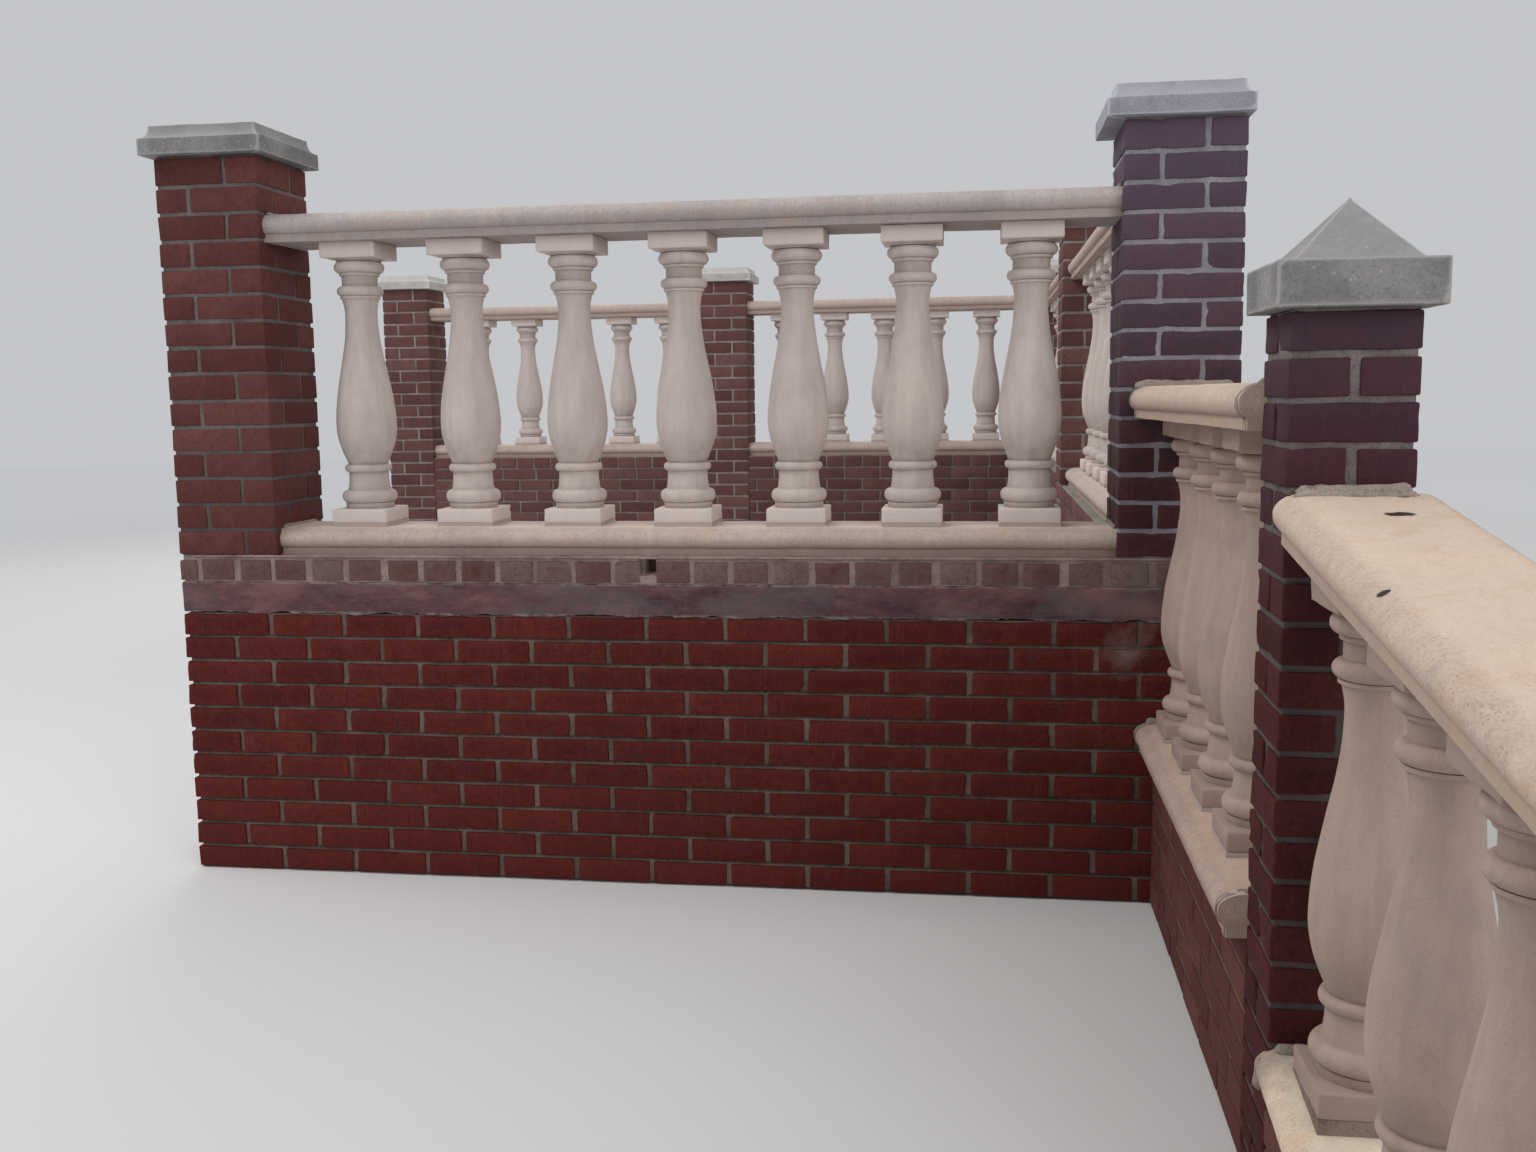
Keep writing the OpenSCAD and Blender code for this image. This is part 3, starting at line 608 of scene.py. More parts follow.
def bricks(boxes, seed, fine=False, rough=0.0011, ceiling=None, worn=0.0055):
    """Bricks for the boxes: rounded blocks up to 0.9 mm askew, with faces uneven by rough and edges crumbled
    by worn. A ceiling is the height at y that cuts them off."""
    source = np.random.default_rng(seed)
    boxes = boxes + source.uniform(-0.0009, 0.0009, boxes.shape)
    tones = source.beta(2.2, 2.2, len(boxes))
    along_x = (boxes[:, 3] - boxes[:, 0]) >= (boxes[:, 4] - boxes[:, 1])
    parts = []
    for chosen, cells in ((along_x, (9, 4, 5)), (~along_x, (4, 9, 5))):
        if not chosen.any():
            continue
        points, faces, marks, middles = blocks(boxes[chosen], BRICK_EDGE, cells if fine else (3, 3, 3),
                                               tones[chosen])
        crumb = np.clip(lump(points, 0.013, seed + 7) - 0.15, 0, 1) * marks["edge"]
        crumb = crumb * (worn if fine else 0.003)
        inward = middles - points
        inward /= np.linalg.norm(inward, axis=1, keepdims=True)
        points = points + lumps(points, 0.05, seed) * rough + inward * crumb[:, None]
        if ceiling is not None:
            points[:, 2] = np.minimum(points[:, 2], ceiling(points[:, 1]))
        parts.append((points, [faces], marks))
    return parts


def core(axis, start, end, middle, half, low, high, seed, spacing=0.03, rough=0.0012):
    """Mortar behind the bricks: a rounded block along an axis, with a gently uneven skin."""
    box = [start, middle - half, low, end, middle + half, high]
    if axis == "y":
        box = [middle - half, start, low, middle + half, end, high]
    cells = [max(4, int((box[3 + i] - box[i]) / spacing)) for i in range(3)]
    points, faces, _, _ = blocks(box, 0.004, cells)
    return points + lumps(points, 0.035, seed) * rough, [faces], {}


def pier_core(x, y, half, low, high, seed, spacing=0.03, rough=0.0012):
    """Mortar behind the bricks of a pier."""
    return core("x", x - half, x + half, y, half, low, high, seed, spacing, rough)


# Levels of the bed joints in the front wall, in the tall piers beside it and in the step pier
wall_beds = np.append(np.linspace(0, TERRACE, 7), np.linspace(TERRACE, BAND_LOW, 6)[1:])
corner_beds = np.array([WALL_TOP, 0.9668, 1.037, 1.1081, 1.1789, 1.2483, 1.3184, 1.3934, 1.463, 1.5328,
                        1.6027, 1.6746, 1.7463, 1.8172, 1.8898, 1.9695])
step_beds = np.concatenate([[0, 0.0487], 1.3646 - 0.0667 * np.arange(19, -1, -1), [STEP_PIER_TOP]])

# Front wall: its courses run on across the faces of both piers and are bonded round their corners
front_leaf = leaf("x", -RUN, RUN, wall_beds, -FACE, -FACE + LEAF, -0.5176, joint=0.0135)
front_leaf[:, [2, 5]] += (-0.0018, 0.0018)
second = np.searchsorted(wall_beds, front_leaf[:, [2, 5]].mean(1)) % 2 == 0
outer = np.abs(front_leaf[:, [0, 3]]).max(1) > RUN - 0.001
front_leaf[second & outer, 4] = -FACE + LONG
upper = front_leaf[:, 5] > 0.33
back_leaf = leaf("x", -RUN + LEAF + JOINT, BAY, wall_beds, FACE - LEAF, FACE, -0.46)
pier_ends = np.vstack([leaf("y", -FACE + JOINT + (LEAF, LONG)[k % 2], FACE, wall_beds[k:k + 2], near,
                            near + LEAF, 0.0666)
                       for k in range(len(wall_beds) - 1) for near in (RUN - LEAF, -RUN)])
masonry("front_wall", bricks(front_leaf[upper], 11, fine=True)
        + bricks(np.vstack([front_leaf[~upper], back_leaf]), 12) + bricks(pier_ends, 42), wall_brick)
build("front_wall_mortar", [core("x", -RUN + INSET, RUN - INSET, 0, FACE - INSET, FLOOR_GAP, BAND_LOW, 14,
                                 rough=0.0016)], wall_mortar)


def smooth_band():
    """Rendered band: a long rounded block whose foot wanders by some millimetres, with a wavy face."""
    box = (-RUN + 0.0005, -FACE, BAND_LOW, RUN - 0.0005, FACE, HEADER_LOW)
    points, faces, _, _ = blocks(box, 0.005, (260, 8, 9))
    foot = np.clip(1 - (points[:, 2] - BAND_LOW) / 0.05, 0, 1)
    run = points * (1, 0, 0)
    points[:, 2] -= foot * (lump(run, 0.045, 21) * 0.0045 + lump(run, 0.012, 22) * 0.0022)
    return points + lumps(points, 0.09, 23) * 0.0016 + lumps(points, 0.03, 24) * 0.0006, [faces], {}


build("front_band_render", [smooth_band()], band_render, "front_band")

# Row of brick ends under the front rail, with a hole at the top of one of them
HOLE_LOW, HOLE_HIGH, HOLE_FOOT = -0.103, -0.064, 0.85
ends = np.vstack([leaf("x", -RUN, RUN, [HEADER_LOW, WALL_TOP], near, far, -0.0734, 0.1067, 0.018)
                  for near, far in ((-FACE, -0.004), (0.004, FACE))])
ends[:, [2, 5]] = HEADER_LOW + 0.004, WALL_TOP - 0.012
ends[:, [0, 3]] += np.random.default_rng(30).uniform(-0.004, 0.004, (len(ends), 2))
front = ends[:, 1] < 0
holed = front & (ends[:, 0] < HOLE_LOW - 0.017) & (ends[:, 3] > HOLE_LOW - 0.017)
x0, y0, z0, x1, y1, z1 = ends[holed][0]
cut = np.array([[x0, y0, z0, HOLE_LOW, y1, z1],
                [HOLE_LOW + 0.001, y0 + 0.003, z0, x1, y1, HOLE_FOOT - 0.006]])
build("front_header_bricks", bricks(ends[front & ~holed], 31, fine=True, rough=0.0012, worn=0.0035)
      + bricks(cut, 32, fine=True, rough=0.002) + bricks(ends[~front], 33), header_brick,
      "front_header_course")


def header_bed():
    """Mortar between the brick ends, drawn in by 100 mm at the hole."""
    box = (-RUN + INSET, -FACE + 0.0042, HEADER_LOW - 0.001, RUN - INSET, FACE - INSET, WALL_TOP)
    points, faces, _, _ = blocks(box, 0.003, (330, 8, 12))
    off = (points[:, 0] - (HOLE_LOW + HOLE_HIGH) / 2) / 0.0175
    deep = np.exp(-off ** 6) * (points[:, 2] > HOLE_FOOT + 0.001) * (points[:, 1] < -0.1)
    points = points + lumps(points, 0.02, 35) * 0.0013
    points[:, 1] += 0.1 * deep
    return points, [faces], {}


build("front_header_mortar", [header_bed()], header_mortar)

# Tall piers beside the front bay
half = FACE - PIER_INSET
masonry("corner_pier", bricks(pier(CORNER_X, 0, corner_beds, pinwheel(0.0108), joint=0.0108), 41, fine=True),
        pier_brick)
build("corner_pier_mortar", [pier_core(CORNER_X, 0, half, WALL_TOP, PIER_TOP, 43, 0.018)], glare_mortar)
masonry("left_pier", bricks(pier(LEFT_X, 0, corner_beds, pinwheel()), 45), plain_brick)
build("left_pier_mortar", [pier_core(LEFT_X, 0, half, WALL_TOP, PIER_TOP, 47)], pier_mortar)

# Small piers and their kerbs
masonry("step_pier", bricks(pier(SIDE_X, STEP_Y, step_beds, turned_pair(), 1), 51, fine=True, rough=0.0015),
        small_pier_brick)
masonry("end_pier", bricks(pier(SIDE_X, END_Y, courses(0, END_PIER_TOP, 0.067), turned_pair()), 52,
                           fine=True), small_pier_brick)
build("small_piers_mortar", [pier_core(SIDE_X, y, SMALL_HALF - 0.0045, FLOOR_GAP, top, seed, 0.0135, 0.0016)
                             for y, top, seed in ((STEP_Y, STEP_PIER_TOP, 53), (END_Y, END_PIER_TOP, 54))],
      pier_mortar)
masonry("lower_side_kerb", bricks(kerb(LOW_START, LOW_END, np.linspace(0, TERRACE, 7), (-0.3, -0.25)), 55),
        plain_brick)
rake = kerb(RAKE_END, RAKE_START, np.linspace(0, 0.268, 5), (-1.8, -1.85))
rake = rake[rake[:, 2] < rake_foot(rake[:, 1]) - 0.012]
masonry("raking_kerb", bricks(rake, 56, ceiling=lambda y: rake_foot(y) + 0.004), plain_brick)
half = SMALL_HALF - PIER_INSET
rake_core = core("y", RAKE_END, RAKE_START, SIDE_X, half, FLOOR_GAP, 0.23, 57)
rake_core[0][:, 2] = np.minimum(rake_core[0][:, 2], rake_foot(rake_core[0][:, 1]) + 0.003)
build("kerb_mortar", [core("y", LOW_START, LOW_END, SIDE_X, half, FLOOR_GAP, TERRACE, 58), rake_core],
      wall_mortar)

# Upper side walls, the walls at the back and the piers between them
for run, seed in (("upper_side", 61), ("rear", 62)):
    boxes = np.vstack([wall(*bay[:4], WALL_TOP + bay[4]) for bay in far_bays[run]])
    build(run + "_wall_bricks", bricks(boxes, seed), far_brick, run + "_walls")
seeded = zip(far_bays["upper_side"] + far_bays["rear"], (63, 64, 65, 65))
build("upper_wall_mortar", [core(*bay[:4], FACE - INSET, FLOOR_GAP, WALL_TOP + bay[4], seed, 0.06)
                            for bay, seed in seeded], far_mortar)
for i, (name, (x, y)) in enumerate(back_piers.items()):
    masonry(name, bricks(pier(x, y, courses(0, BACK_PIER_TOP, 0.0705), pinwheel(), i), 70 + i), far_brick)
build("back_piers_mortar", [pier_core(x, y, FACE - PIER_INSET, FLOOR_GAP, BACK_PIER_TOP, 75, 0.055)
                            for x, y in back_piers.values()], far_mortar)

# Rails


def rail_outline(fine):
    """Half section of a rail as side and height: upright strip, small round, nose; then the flat top and the
    other half mirrored. It runs counter-clockwise from the foot of the strip."""
    a = np.linspace(0.12, math.pi / 2, 7 if fine else 4)
    b = np.linspace(0, math.pi / 2, 11 if fine else 6)[1:]
    heights = [0.0, 0.003, 0.012, 0.0195, 0.021] if fine else [0.0, 0.021]
    under = columns(RAIL_HALF - 0.014 * (1 - np.sin(a)), 0.021 + 0.025 * (1 - np.cos(a)))
    nose = columns(RAIL_HALF - 0.045 * (1 - np.cos(b)), 0.046 + 0.03 * np.sin(b))
    right = np.vstack([columns(STRIP_HALF, heights), under, nose])
    top = np.linspace(0.078, -0.078, 11 if fine else 4)[1:-1]
    foot = np.linspace(-STRIP_HALF, STRIP_HALF, 6 if fine else 3)[1:-1]
    return np.vstack([right, columns(top, RAIL), right[::-1] * (-1, 1), columns(foot, 0)])


def at(line, s):
    """A line's value at s: the line is a number, or a function of s."""
    return line(s) if callable(line) else line


def rail(axis, start, end, side, base, seed, spacing=0.011, fine=True, stretch=1.0, tuck=TUCK):
    """Rail along an axis, longer by the tuck at both ends: at each place s the section stands on the lines
    side and base, its heights times stretch, moved by up to a millimetre of smooth noise. Both ends are
    flat."""
    outline = rail_outline(fine)
    start, end = start - tuck, end + tuck
    stations = np.linspace(start, end, int((end - start) / spacing) + 1)
    s, u = np.meshgrid(stations, outline[:, 0], indexing="ij")
    v = np.broadcast_to(outline[:, 1], s.shape)
    z = at(base, s) + v * stretch
    points = columns(s, at(side, s) + u, z) if axis == "x" else columns(at(side, s) - u, s, z)
    points = points.reshape(-1, 3)
    small = lumps(points, 0.03, seed + 3) * (0.0005 if fine else 0)
    points = points + lumps(points, 0.16, seed) * 0.0011 + small
    return points, tube(len(stations), len(outline)), {"rise": (v / RAIL).ravel()}


stone("front_bottom_rail", [rail("x", -BAY, BAY, 0, WALL_TOP, 101)], rail_stone)
stone("front_top_rail", [rail("x", -BAY, BAY, 0, TOP_RAIL, 105)], top_rail_stone)
stone("lower_side_bottom_rail", [rail("y", LOW_START, LOW_END, LOWER_X, TERRACE, 109)], side_rail_stone)
stone("lower_side_top_rail", [rail("y", LOW_START, LOW_END, lower_top_line, LOW_TOP_RAIL, 113)], raking_stone)
for name, base, seed, spacing, material in (("bottom", rake_foot, 117, 0.011, low_raking_stone),
                                            ("top", rake_head, 121, 0.007, raking_stone)):
    stone(f"raking_{name}_rail", [rail("y", RAKE_END, RAKE_START, RAKING_X, base, seed, spacing,
                                       stretch=RAKE_RAIL / RAIL)], material)
for run, further in (("upper_side", 0), ("rear", 2)):
    for name, z, seed in (("bottom", WALL_TOP, 125), ("top", TOP_RAIL, 130)):
        rails = [rail(axis, start, end, line, z + rise, seed + further + i, 0.02, False)
                 for i, (axis, start, end, line, rise) in enumerate(far_bays[run])]
        stone(f"{run}_{name}_rails", rails, rail_stone)

# Balusters


def turned_outline(fine):
    """Radius and height of the shaft from the foot block up, as rings (half an ellipse), hollows (a quarter
    ellipse), swells (a quarter sine), tapers (half a cosine wave) and flat steps."""
    n, m = (12, 34) if fine else (6, 14)
    a, q = np.linspace(0, math.pi, n + 1), np.linspace(0, math.pi / 2, n + 1)
    t = np.linspace(0, math.pi, m + 1)

    def ring(z, h, edge, out):
        """Half an ellipse of height h from z up, between the radii edge and out."""
        return columns(edge + (out - edge) * np.sin(a), z + h * (1 - np.cos(a)) / 2)

    def flat(radius, low, high):
        """Upright step from low to high."""
        return columns(radius, [low, high])

    hollow = columns(0.0535 + 0.0065 * (1 - np.sin(q)), 0.088 + 0.05 * (1 - np.cos(q)))[1:]
    swell = columns(0.053 + 0.0285 * np.sin(q), 0.16 + 0.106 * q / q[-1])[1:]
    taper = columns(0.0815 - 0.0385 * (1 - np.cos(t)) / 2, 0.266 + 0.305 * t / t[-1])[1:]
    flare = columns(0.043 + 0.007 * (1 - np.cos(q)), 0.571 + 0.042 * q / q[-1])[1:]
    return np.vstack([flat(0.065, PLINTH - 0.004, 0.0525), ring(0.053, 0.035, 0.06, 0.0745), hollow,
                      ring(0.138, 0.022, 0.0535, 0.064), swell, taper, flare, flat(0.054, 0.613, 0.619),
                      ring(0.619, 0.028, 0.048, 0.0625), flat(0.048, 0.651, 0.672),
                      flat(0.054, 0.676, 0.6815), ring(0.682, 0.032, 0.052, 0.067),
                      flat(0.06, 0.7145, BALUSTER - ABACUS + 0.004)])


def hollowness(outline):
    """How far each point lies inside the mean radius of what is near its height, from 0 to 1: the mean is
    weighted by exp(-(dz / 9 mm)^2), and 6.5 mm counts as fully hollow."""
    r, z = outline.T
    near = np.exp(-((z[:, None] - z[None]) / 0.009) ** 2)
    return np.clip((near @ r / near.sum(1) - r) / 0.0065, 0, 1)


def baluster(x, y, z, seed, fine=True, raking=False):
    """Baluster on z: the turned outline swept round its axis, between two square blocks with worn edges.
    The head block of a raking baluster runs up to the slope of the rail above it."""
    outline = turned_outline(fine)
    turns = 56 if fine else 26
    angle = np.linspace(0, 2 * math.pi, turns, endpoint=False) + seed
    r, h = outline[:, :1], outline[:, 1:]
    points = columns(r * np.cos(angle), r * np.sin(angle), h).reshape(-1, 3) + (x, y, z)
    points = points + lumps(points, 0.045, 200 + seed) * 0.0006
    # Painted shade where the foot ring meets the plinth and in the hollows of the turning; dirt in patches
    # under the belly.
    foot = np.clip(1 - (outline[:, 1] - PLINTH) / 0.016, 0, 1) * 0.85
    under_belly = np.exp(-((outline[:, 1] - 0.182) / 0.026) ** 2) * 0.3
    patches = 0.4 + 0.9 * np.clip(lump(points, 0.02, 260 + seed) + 0.3, 0, 1)
    hollows = np.repeat(np.maximum(hollowness(outline) * 0.62, foot), turns)
    dirt_and_shade = hollows + np.repeat(under_belly, turns) * patches
    shaft = (points, tube(len(outline), turns), {"dirt_and_shade": dirt_and_shade, "block": np.zeros(len(points))})
    half, head_low = BLOCK / 2, z + BALUSTER - ABACUS
    boxes = [[x - half, y - half, z, x + half, y + half, z + PLINTH],
             [x - half, y - half, head_low, x + half, y + half, z + BALUSTER]]
    square, faces, marks, middles = blocks(boxes, 0.0026, (8, 8, 5) if fine else (3, 3, 3))
    if raking:
        share = np.clip((square[:, 2] - head_low) / ABACUS, 0, 1)
        lifted = head_low + share * (rake_head(square[:, 1]) - head_low)
        square[:, 2] = np.where(square[:, 2] > z + BALUSTER / 2, lifted, square[:, 2])
    worn = np.clip(lump(square, 0.017, 300 + seed) - 0.2, 0, 1) * marks["edge"] * (0.005 if fine else 0.002)
    inward = (middles - square) * (1, 1, 0.3)
    inward /= np.linalg.norm(inward, axis=1, keepdims=True)
    square = square + inward * worn[:, None] + lumps(square, 0.05, 310 + seed) * 0.0006
    return [shaft, (square, [faces], {"dirt_and_shade": np.zeros(len(square)), "block": np.ones(len(square))})]


def row(axis, line, places, level, seed, fine=False):
    """Balusters at places along an axis, all on one level."""
    spots = [(place, line) if axis == "x" else (line, place) for place in places]
    return [part for i, (x, y) in enumerate(spots) for part in baluster(x, y, level, seed + i, fine)]


def spread(start, end, count, first, last):
    """Middles of the balusters of a bay, with the first and the last at these distances from its ends."""
    return start + first + np.arange(count) * (end - start - first - last) / (count - 1)


for i, x in enumerate(spread(-BAY, BAY, 7, 0.213, 0.213)):
    stone(f"front_baluster_{i + 1}", baluster(x, 0, SEAT, 1 + i), baluster_stone, 50)
places = spread(LOW_START, LOW_END, 4, 0.265, 0.14)
stone("lower_side_balusters", row("y", LOWER_X, places, LOW_SEAT, 11, True), shaded_side_stone, 50)
raking_parts = []
for i, fall in enumerate(spread(0, RAKE_START - RAKE_END, 4, 0.128, 0.128)):
    y = RAKE_START - fall
    raking_parts += baluster(RAKING_X, y, rake_z(y + BLOCK / 2) + 0.002, 21 + i, raking=True)
stone("raking_balusters", raking_parts, shaded_side_stone, 50)
for run, count, gaps, seed in (("upper_side", 6, ((0.293, 0.293), (0.293, 0.293)), 31),
                               ("rear", 5, ((0.213, 0.287), (0.287, 0.213)), 51)):
    far_parts = []
    for i, (axis, start, end, line, rise) in enumerate(far_bays[run]):
        far_parts += row(axis, line, spread(start, end, count, *gaps[i]), SEAT + rise, seed + 10 * i)
    stone(run + "_balusters", far_parts, baluster_stone, 50)
bed_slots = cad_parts["mortar_beds"].data.materials
bed_slots.clear()
bed_slots.append(bed_mortar)

# Caps


def square_rings(profile, x, y, level, straight, radius, seed, rough, arrises, crown):
    """Square solid with rounded upright edges: each profile row (half width w, height over the level) is the
    outline (w - radius) * S + radius * N, with S on the unit square and N the outward direction. Both ends
    close on a point. The edge value is 1 on the corners and on the rows numbered in arrises, where the number
    after the last row is the top point, and the crown value is 1 above the height crown."""
    t, a = np.linspace(-1, 1, straight + 1)[1:-1], np.linspace(0, math.pi / 2, 4)
    side = np.vstack([columns(1, t), np.ones((4, 2))])
    facing = np.vstack([columns(1, 0 * t), columns(np.cos(a), np.sin(a))])
    quarters = [np.linalg.matrix_power(np.array([[0, 1], [-1, 0]]), i) for i in range(4)]
    place, out = np.vstack([side @ q for q in quarters]), np.vstack([facing @ q for q in quarters])
    w, z = profile[:, :1, None], profile[:, 1] + level
    r = np.minimum(radius, w)
    rows, cols = len(profile), len(place)
    flat = (w - r) * place + r * out
    points = columns(flat[..., 0], flat[..., 1], z[:, None]).reshape(-1, 3)
    points = np.vstack([points, [[0, 0, z[0]], [0, 0, z[-1]]]]) + (x, y, 0)
    points = points + lumps(points, 0.05, seed) * rough + lumps(points, 0.016, seed + 5) * rough * 0.6
    arris = np.isin(np.arange(rows + 1), arrises)
    edge = (np.abs(place).min(1) > 0.97) | arris[:-1, None]
    marks = {"edge": np.append(edge.ravel(), [False, arris[-1]]).astype(float),
             "crown": np.append(np.repeat(z > level + crown, cols), [False, True]).astype(float)}
    return points, pointed(rows, cols), marks


def flat_cap(x, y, level, seed, fine=True):
    """Flat cap: square edge of 44 mm, then a hollow moulding that ends upright 22 mm further in."""
    wide = FACE + 0.029
    q = np.linspace(0, math.pi / 2, 10 if fine else 5)
    inner = np.linspace(0.04, 1, 10 if fine else 4)
    rows = np.vstack([columns(inner * (wide - 0.003), 0),
                      [[wide - 0.0008, 0.0008], [wide, 0.003], [wide, 0.015], [wide, 0.03], [wide, 0.0415],
                       [wide - 0.001, 0.0435]],
                      columns(wide - 0.002 - 0.02 * np.sin(q), 0.044 + 0.034 * (1 - np.cos(q)))[1:],
                      columns(inner[::-1] * (wide - 0.025), 0.078)])
    arrises = [len(inner) + 1, len(inner) + 5, len(rows) - len(inner)]
    return square_rings(rows, x, y, level, 30 if fine else 12, 0.004, seed, 0.0008, arrises, 0.0445)


def pointed_cap(x, y, level, seed):
    """Pointed cap: slab of 69 mm with upright sides and a pyramid of 97 mm set in by 26 mm, whose tip stands
    5 mm off the middle."""
    foot = SMALL_HALF
    wide = foot + 0.026
    climb = np.linspace(0, 1, 22)[1:-1]
    rows = np.vstack([columns(np.linspace(0.05, 1, 8) * (wide - 0.003), 0),
                      [[wide - 0.0008, 0.0008], [wide, 0.003], [wide, 0.02], [wide, 0.04], [wide, 0.058],
                       [wide, 0.0665], [wide - 0.0012, 0.0685], [wide - 0.006, 0.069], [wide - 0.018, 0.0692],
                       [foot + 0.001, 0.0695]],
                      columns(foot * (1 - climb), 0.069 + 0.097 * climb), [[0.0025, 0.1652]]])
    arrises = [9, 13, 14, len(rows)]
    points, faces, marks = square_rings(rows, x, y, level, 26, 0.003, seed, 0.0005, arrises, 0.0692)
    points[:, 0] += 0.005 * np.clip((points[:, 2] - level - 0.07) / 0.096, 0, 1)
    return points, faces, marks


stone("corner_pier_cap", [flat_cap(CORNER_X - 0.015, 0, PIER_TOP, 401)], glare_cap, 30)
stone("left_pier_cap", [flat_cap(LEFT_X, 0, PIER_TOP, 403)], cap_stone, 30)
stone("step_pier_cap", [pointed_cap(SIDE_X, STEP_Y, STEP_PIER_TOP, 405)], cap_stone, 24)
stone("end_pier_cap", [pointed_cap(SIDE_X, END_Y, END_PIER_TOP, 407)], cap_stone, 24)
for i, (name, (x, y)) in enumerate(back_piers.items()):
    stone(name + "_cap", [flat_cap(x, y, BACK_PIER_TOP, 411 + i, False)], pale_cap, 30)

# Mortar where the rails meet the piers


def bead(start, end, radius, seed):
    """Rough bead from start to end: a tube of twelve sides whose radius wanders and closes at both ends."""
    start, end = np.array(start), np.array(end)
    length = np.linalg.norm(end - start)
    along = (end - start) / length
    side = np.cross(along, (0, 0, 1))
    side /= np.linalg.norm(side)
    s = np.linspace(0, 1, int(length / 0.006) + 2)
    angle = np.linspace(0, 2 * math.pi, 12, endpoint=False)
    close = np.sqrt(np.clip(1 - np.abs(2 * s - 1) ** 14, 0.002, 1))
    line = start + s[:, None] * (end - start)
    wander = 1 + 0.22 * lump(line, 0.034, seed)
    ring = np.cos(angle)[:, None] * side + np.sin(angle)[:, None] * np.cross(side, along)
    points = (line[:, None] + (radius * close * wander)[:, None, None] * ring[None]).reshape(-1, 3)
    return points + lumps(points, 0.012, seed + 1) * radius * 0.2, tube(len(s), len(angle)), {}


def collar(start, end, side, base, seed):
    """Mortar round the end of a rail: the rail's section pushed out by 1.5 mm and roughened by 2 mm."""
    points, faces, _ = rail("y", start, end, side, base, seed, 0.004, tuck=0)
    x, y, z = points.T
    away = columns(x - at(side, y), 0, z - (at(base, y) + RAIL / 2))
    points = points + 0.0015 * away / np.linalg.norm(away, axis=1, keepdims=True)
    return points + lumps(points, 0.014, seed + 9) * 0.0021, faces, {}


def across(x0, x1, y, z, radius, seed):
    """Bead along x."""
    return bead((x0, y, z), (x1, y, z), radius, seed)


side_top, low_top, rake_top = LOW_TOP_RAIL + RAIL, TERRACE + RAIL, rake_head(RAKE_START) + RAKE_RAIL
rake_side = RAKING_X - RAIL_HALF
beads = [across(1.158, 1.398, -FACE - 0.004, side_top + 0.001, 0.014, 501),
         bead((1.19, -FACE - 0.012, side_top - 0.002), (1.37, -FACE - 0.014, side_top - 0.002), 0.009, 502),
         bead((1.238, RAKE_START - 0.004, rake_top + 0.002), (1.402, RAKE_START - 0.004, rake_top + 0.003),
              0.012, 503),
         across(1.232, 1.408, RAKE_START - 0.014, rake_top - 0.003, 0.008, 504),
         across(1.215, 1.402, LOW_START + 0.003, side_top, 0.009, 505)]
beads += [bead((x, -0.1, z + RAIL), (x, 0.1, z + RAIL), radius, seed)
          for x, z, radius, seed in ((BAY - 0.002, TOP_RAIL, 0.006, 507), (BAY - 0.002, WALL_TOP, 0.007, 509),
                                     (-BAY + 0.002, TOP_RAIL, 0.006, 511),
                                     (-BAY + 0.002, WALL_TOP, 0.007, 513))]
beads += [across(1.2, 1.395, LOW_END - 0.003, low_top, 0.012, 515),
          across(1.22, 1.39, LOW_START + 0.003, low_top, 0.009, 517),
          across(1.235, 1.41, RAKE_START - 0.004, RAKE_LOW_TOP, 0.012, 519),
          bead((rake_side + 0.004, RAKE_START - 0.002, RAKE_LOW_TOP - 0.066),
               (rake_side + 0.01, RAKE_START - 0.004, RAKE_LOW_TOP - 0.012), 0.01, 520)]
beads += [collar(LOW_START + 0.001, LOW_START + 0.025, lower_top_line, LOW_TOP_RAIL, 541),
          collar(LOW_END - 0.02, LOW_END - 0.001, lower_top_line, LOW_TOP_RAIL, 543),
          collar(LOW_END - 0.022, LOW_END - 0.001, LOWER_X, TERRACE, 545),
          collar(LOW_START + 0.001, LOW_START + 0.02, LOWER_X, TERRACE, 547)]
build("rail_end_mortar", beads, bead_mortar, crease=60)
build("rail_foot_mortar", [across(-RUN + 0.01, RUN - 0.004, -FACE + 0.002, WALL_TOP - 0.001, 0.0035, 521)],
      header_mortar, crease=60)
half = SMALL_HALF - PIER_INSET
cap_beds = [across(CORNER_X - FACE + PIER_INSET, CORNER_X + FACE - PIER_INSET, -FACE + PIER_INSET,
                   PIER_TOP - 0.001, 0.005, 531),
            across(SIDE_X - half, SIDE_X + half, STEP_Y - half, STEP_PIER_TOP - 0.001, 0.004, 533)]
build("cap_bed_mortar", cap_beds, pier_mortar, crease=60)

# Camera, light and floor

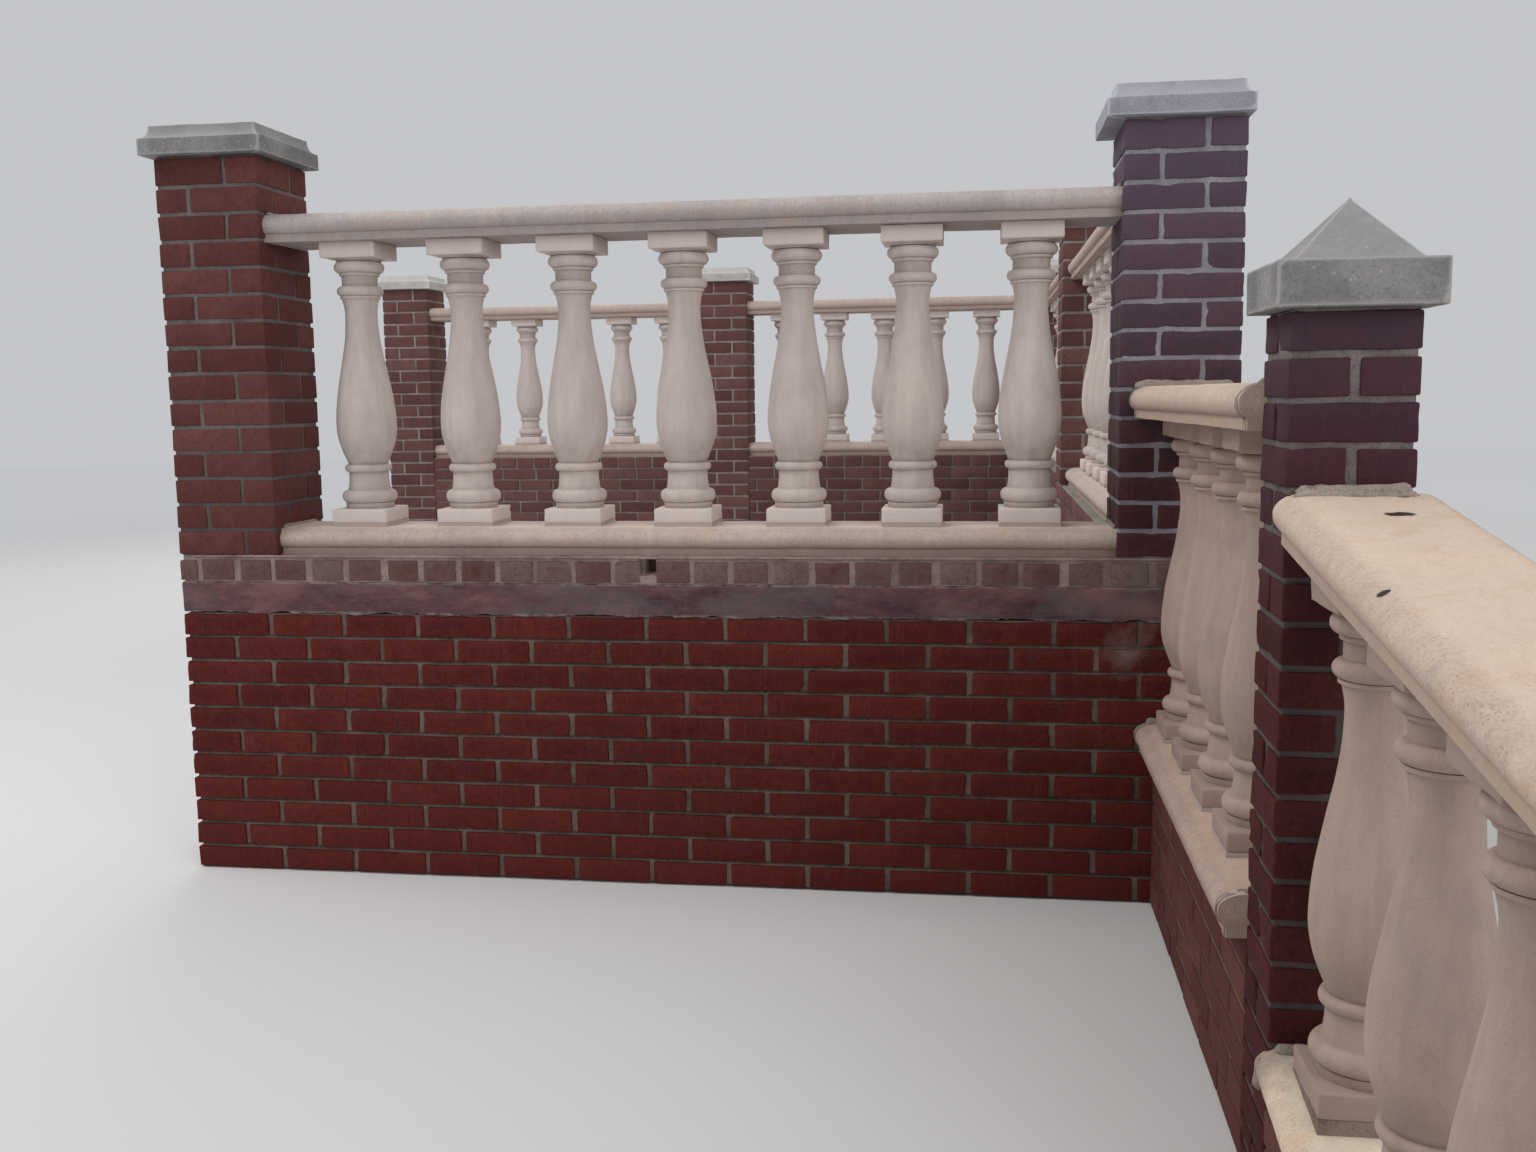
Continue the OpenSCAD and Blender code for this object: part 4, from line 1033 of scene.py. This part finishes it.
# Sensor in mm, and the photo's width and focal length in pixels
SENSOR, PHOTO_WIDTH, FOCAL = 36, 1536, 1400
TURN_LEFT, TILT_DOWN, ROLL = math.radians(8.4), math.radians(7.34), math.radians(-0.74)
lens = bpy.data.cameras.new("camera")
lens.sensor_width, lens.lens, lens.clip_start = SENSOR, FOCAL * SENSOR / PHOTO_WIDTH, 0.05
camera = bpy.data.objects.new("camera", lens)
camera.matrix_world = (Matrix.Translation((0.7671, -3.73, 1.3146)) @ Matrix.Rotation(TURN_LEFT, 4, "Z")
                       @ Matrix.Rotation(math.pi / 2 - TILT_DOWN, 4, "X") @ Matrix.Rotation(ROLL, 4, "Z"))
bpy.context.scene.collection.objects.link(camera)
bpy.context.scene.camera = camera


def lamp(name, place, target, size, power, colour):
    """Large soft area light at a place, turned towards its target."""
    light = bpy.data.lights.new(name, "AREA")
    light.shape = "DISK"
    light.size, light.energy, light.color = size, power, colour
    lit = bpy.data.objects.new(name, light)
    lit.location = place
    lit.rotation_euler = (Vector(target) - Vector(place)).to_track_quat("-Z", "Y").to_euler()
    bpy.context.scene.collection.objects.link(lit)


lamp("back_light", (-3.0, 8.0, 6.5), (0.2, 0.0, 0.8), 6.0, 170, (1.0, 0.99, 0.97))
lamp("high_light", (-4.0, -1.0, 7.0), (0.9, -0.8, 0.9), 3.6, 235, (1.0, 0.97, 0.93))
lamp("front_light", (5.0, -6.5, 4.5), (0.2, 0.0, 0.8), 5.0, 165, (1.0, 0.98, 0.96))
world = bpy.data.worlds.new("soft_world")
world.use_nodes = True
sky = world.node_tree.nodes["Background"].inputs
sky[0].default_value, sky[1].default_value = (0.95, 0.97, 1.0, 1), 0.58
bpy.context.scene.world = world
bpy.context.scene.view_settings.view_transform = "Standard"

# Round pale floor half a millimetre below the part; its paler edge is painted light that makes up for the
# lamps' falloff
pale = Finish("pale_floor")
distance = pale.vector("LENGTH", {}, {0: pale.place})["Value"]
pale.tree.links.new(pale.span(distance, 4.0, 16.0, 0.7, 0.97), pale.shader.inputs["Base Color"])
pale.shader.inputs["Roughness"].default_value = 0.9
reach = np.linspace(0, 2 * math.pi, 97)[:-1]
rim = columns(30 * np.cos(reach), 30 * np.sin(reach), -FLOOR_GAP)
floor_mesh = bpy.data.meshes.new("floor")
floor_mesh.from_pydata(rim.tolist(), [], [list(range(len(rim)))])
floor_mesh.materials.append(pale.material)
floor = bpy.data.objects.new("floor", floor_mesh)
bpy.context.scene.collection.objects.link(floor)
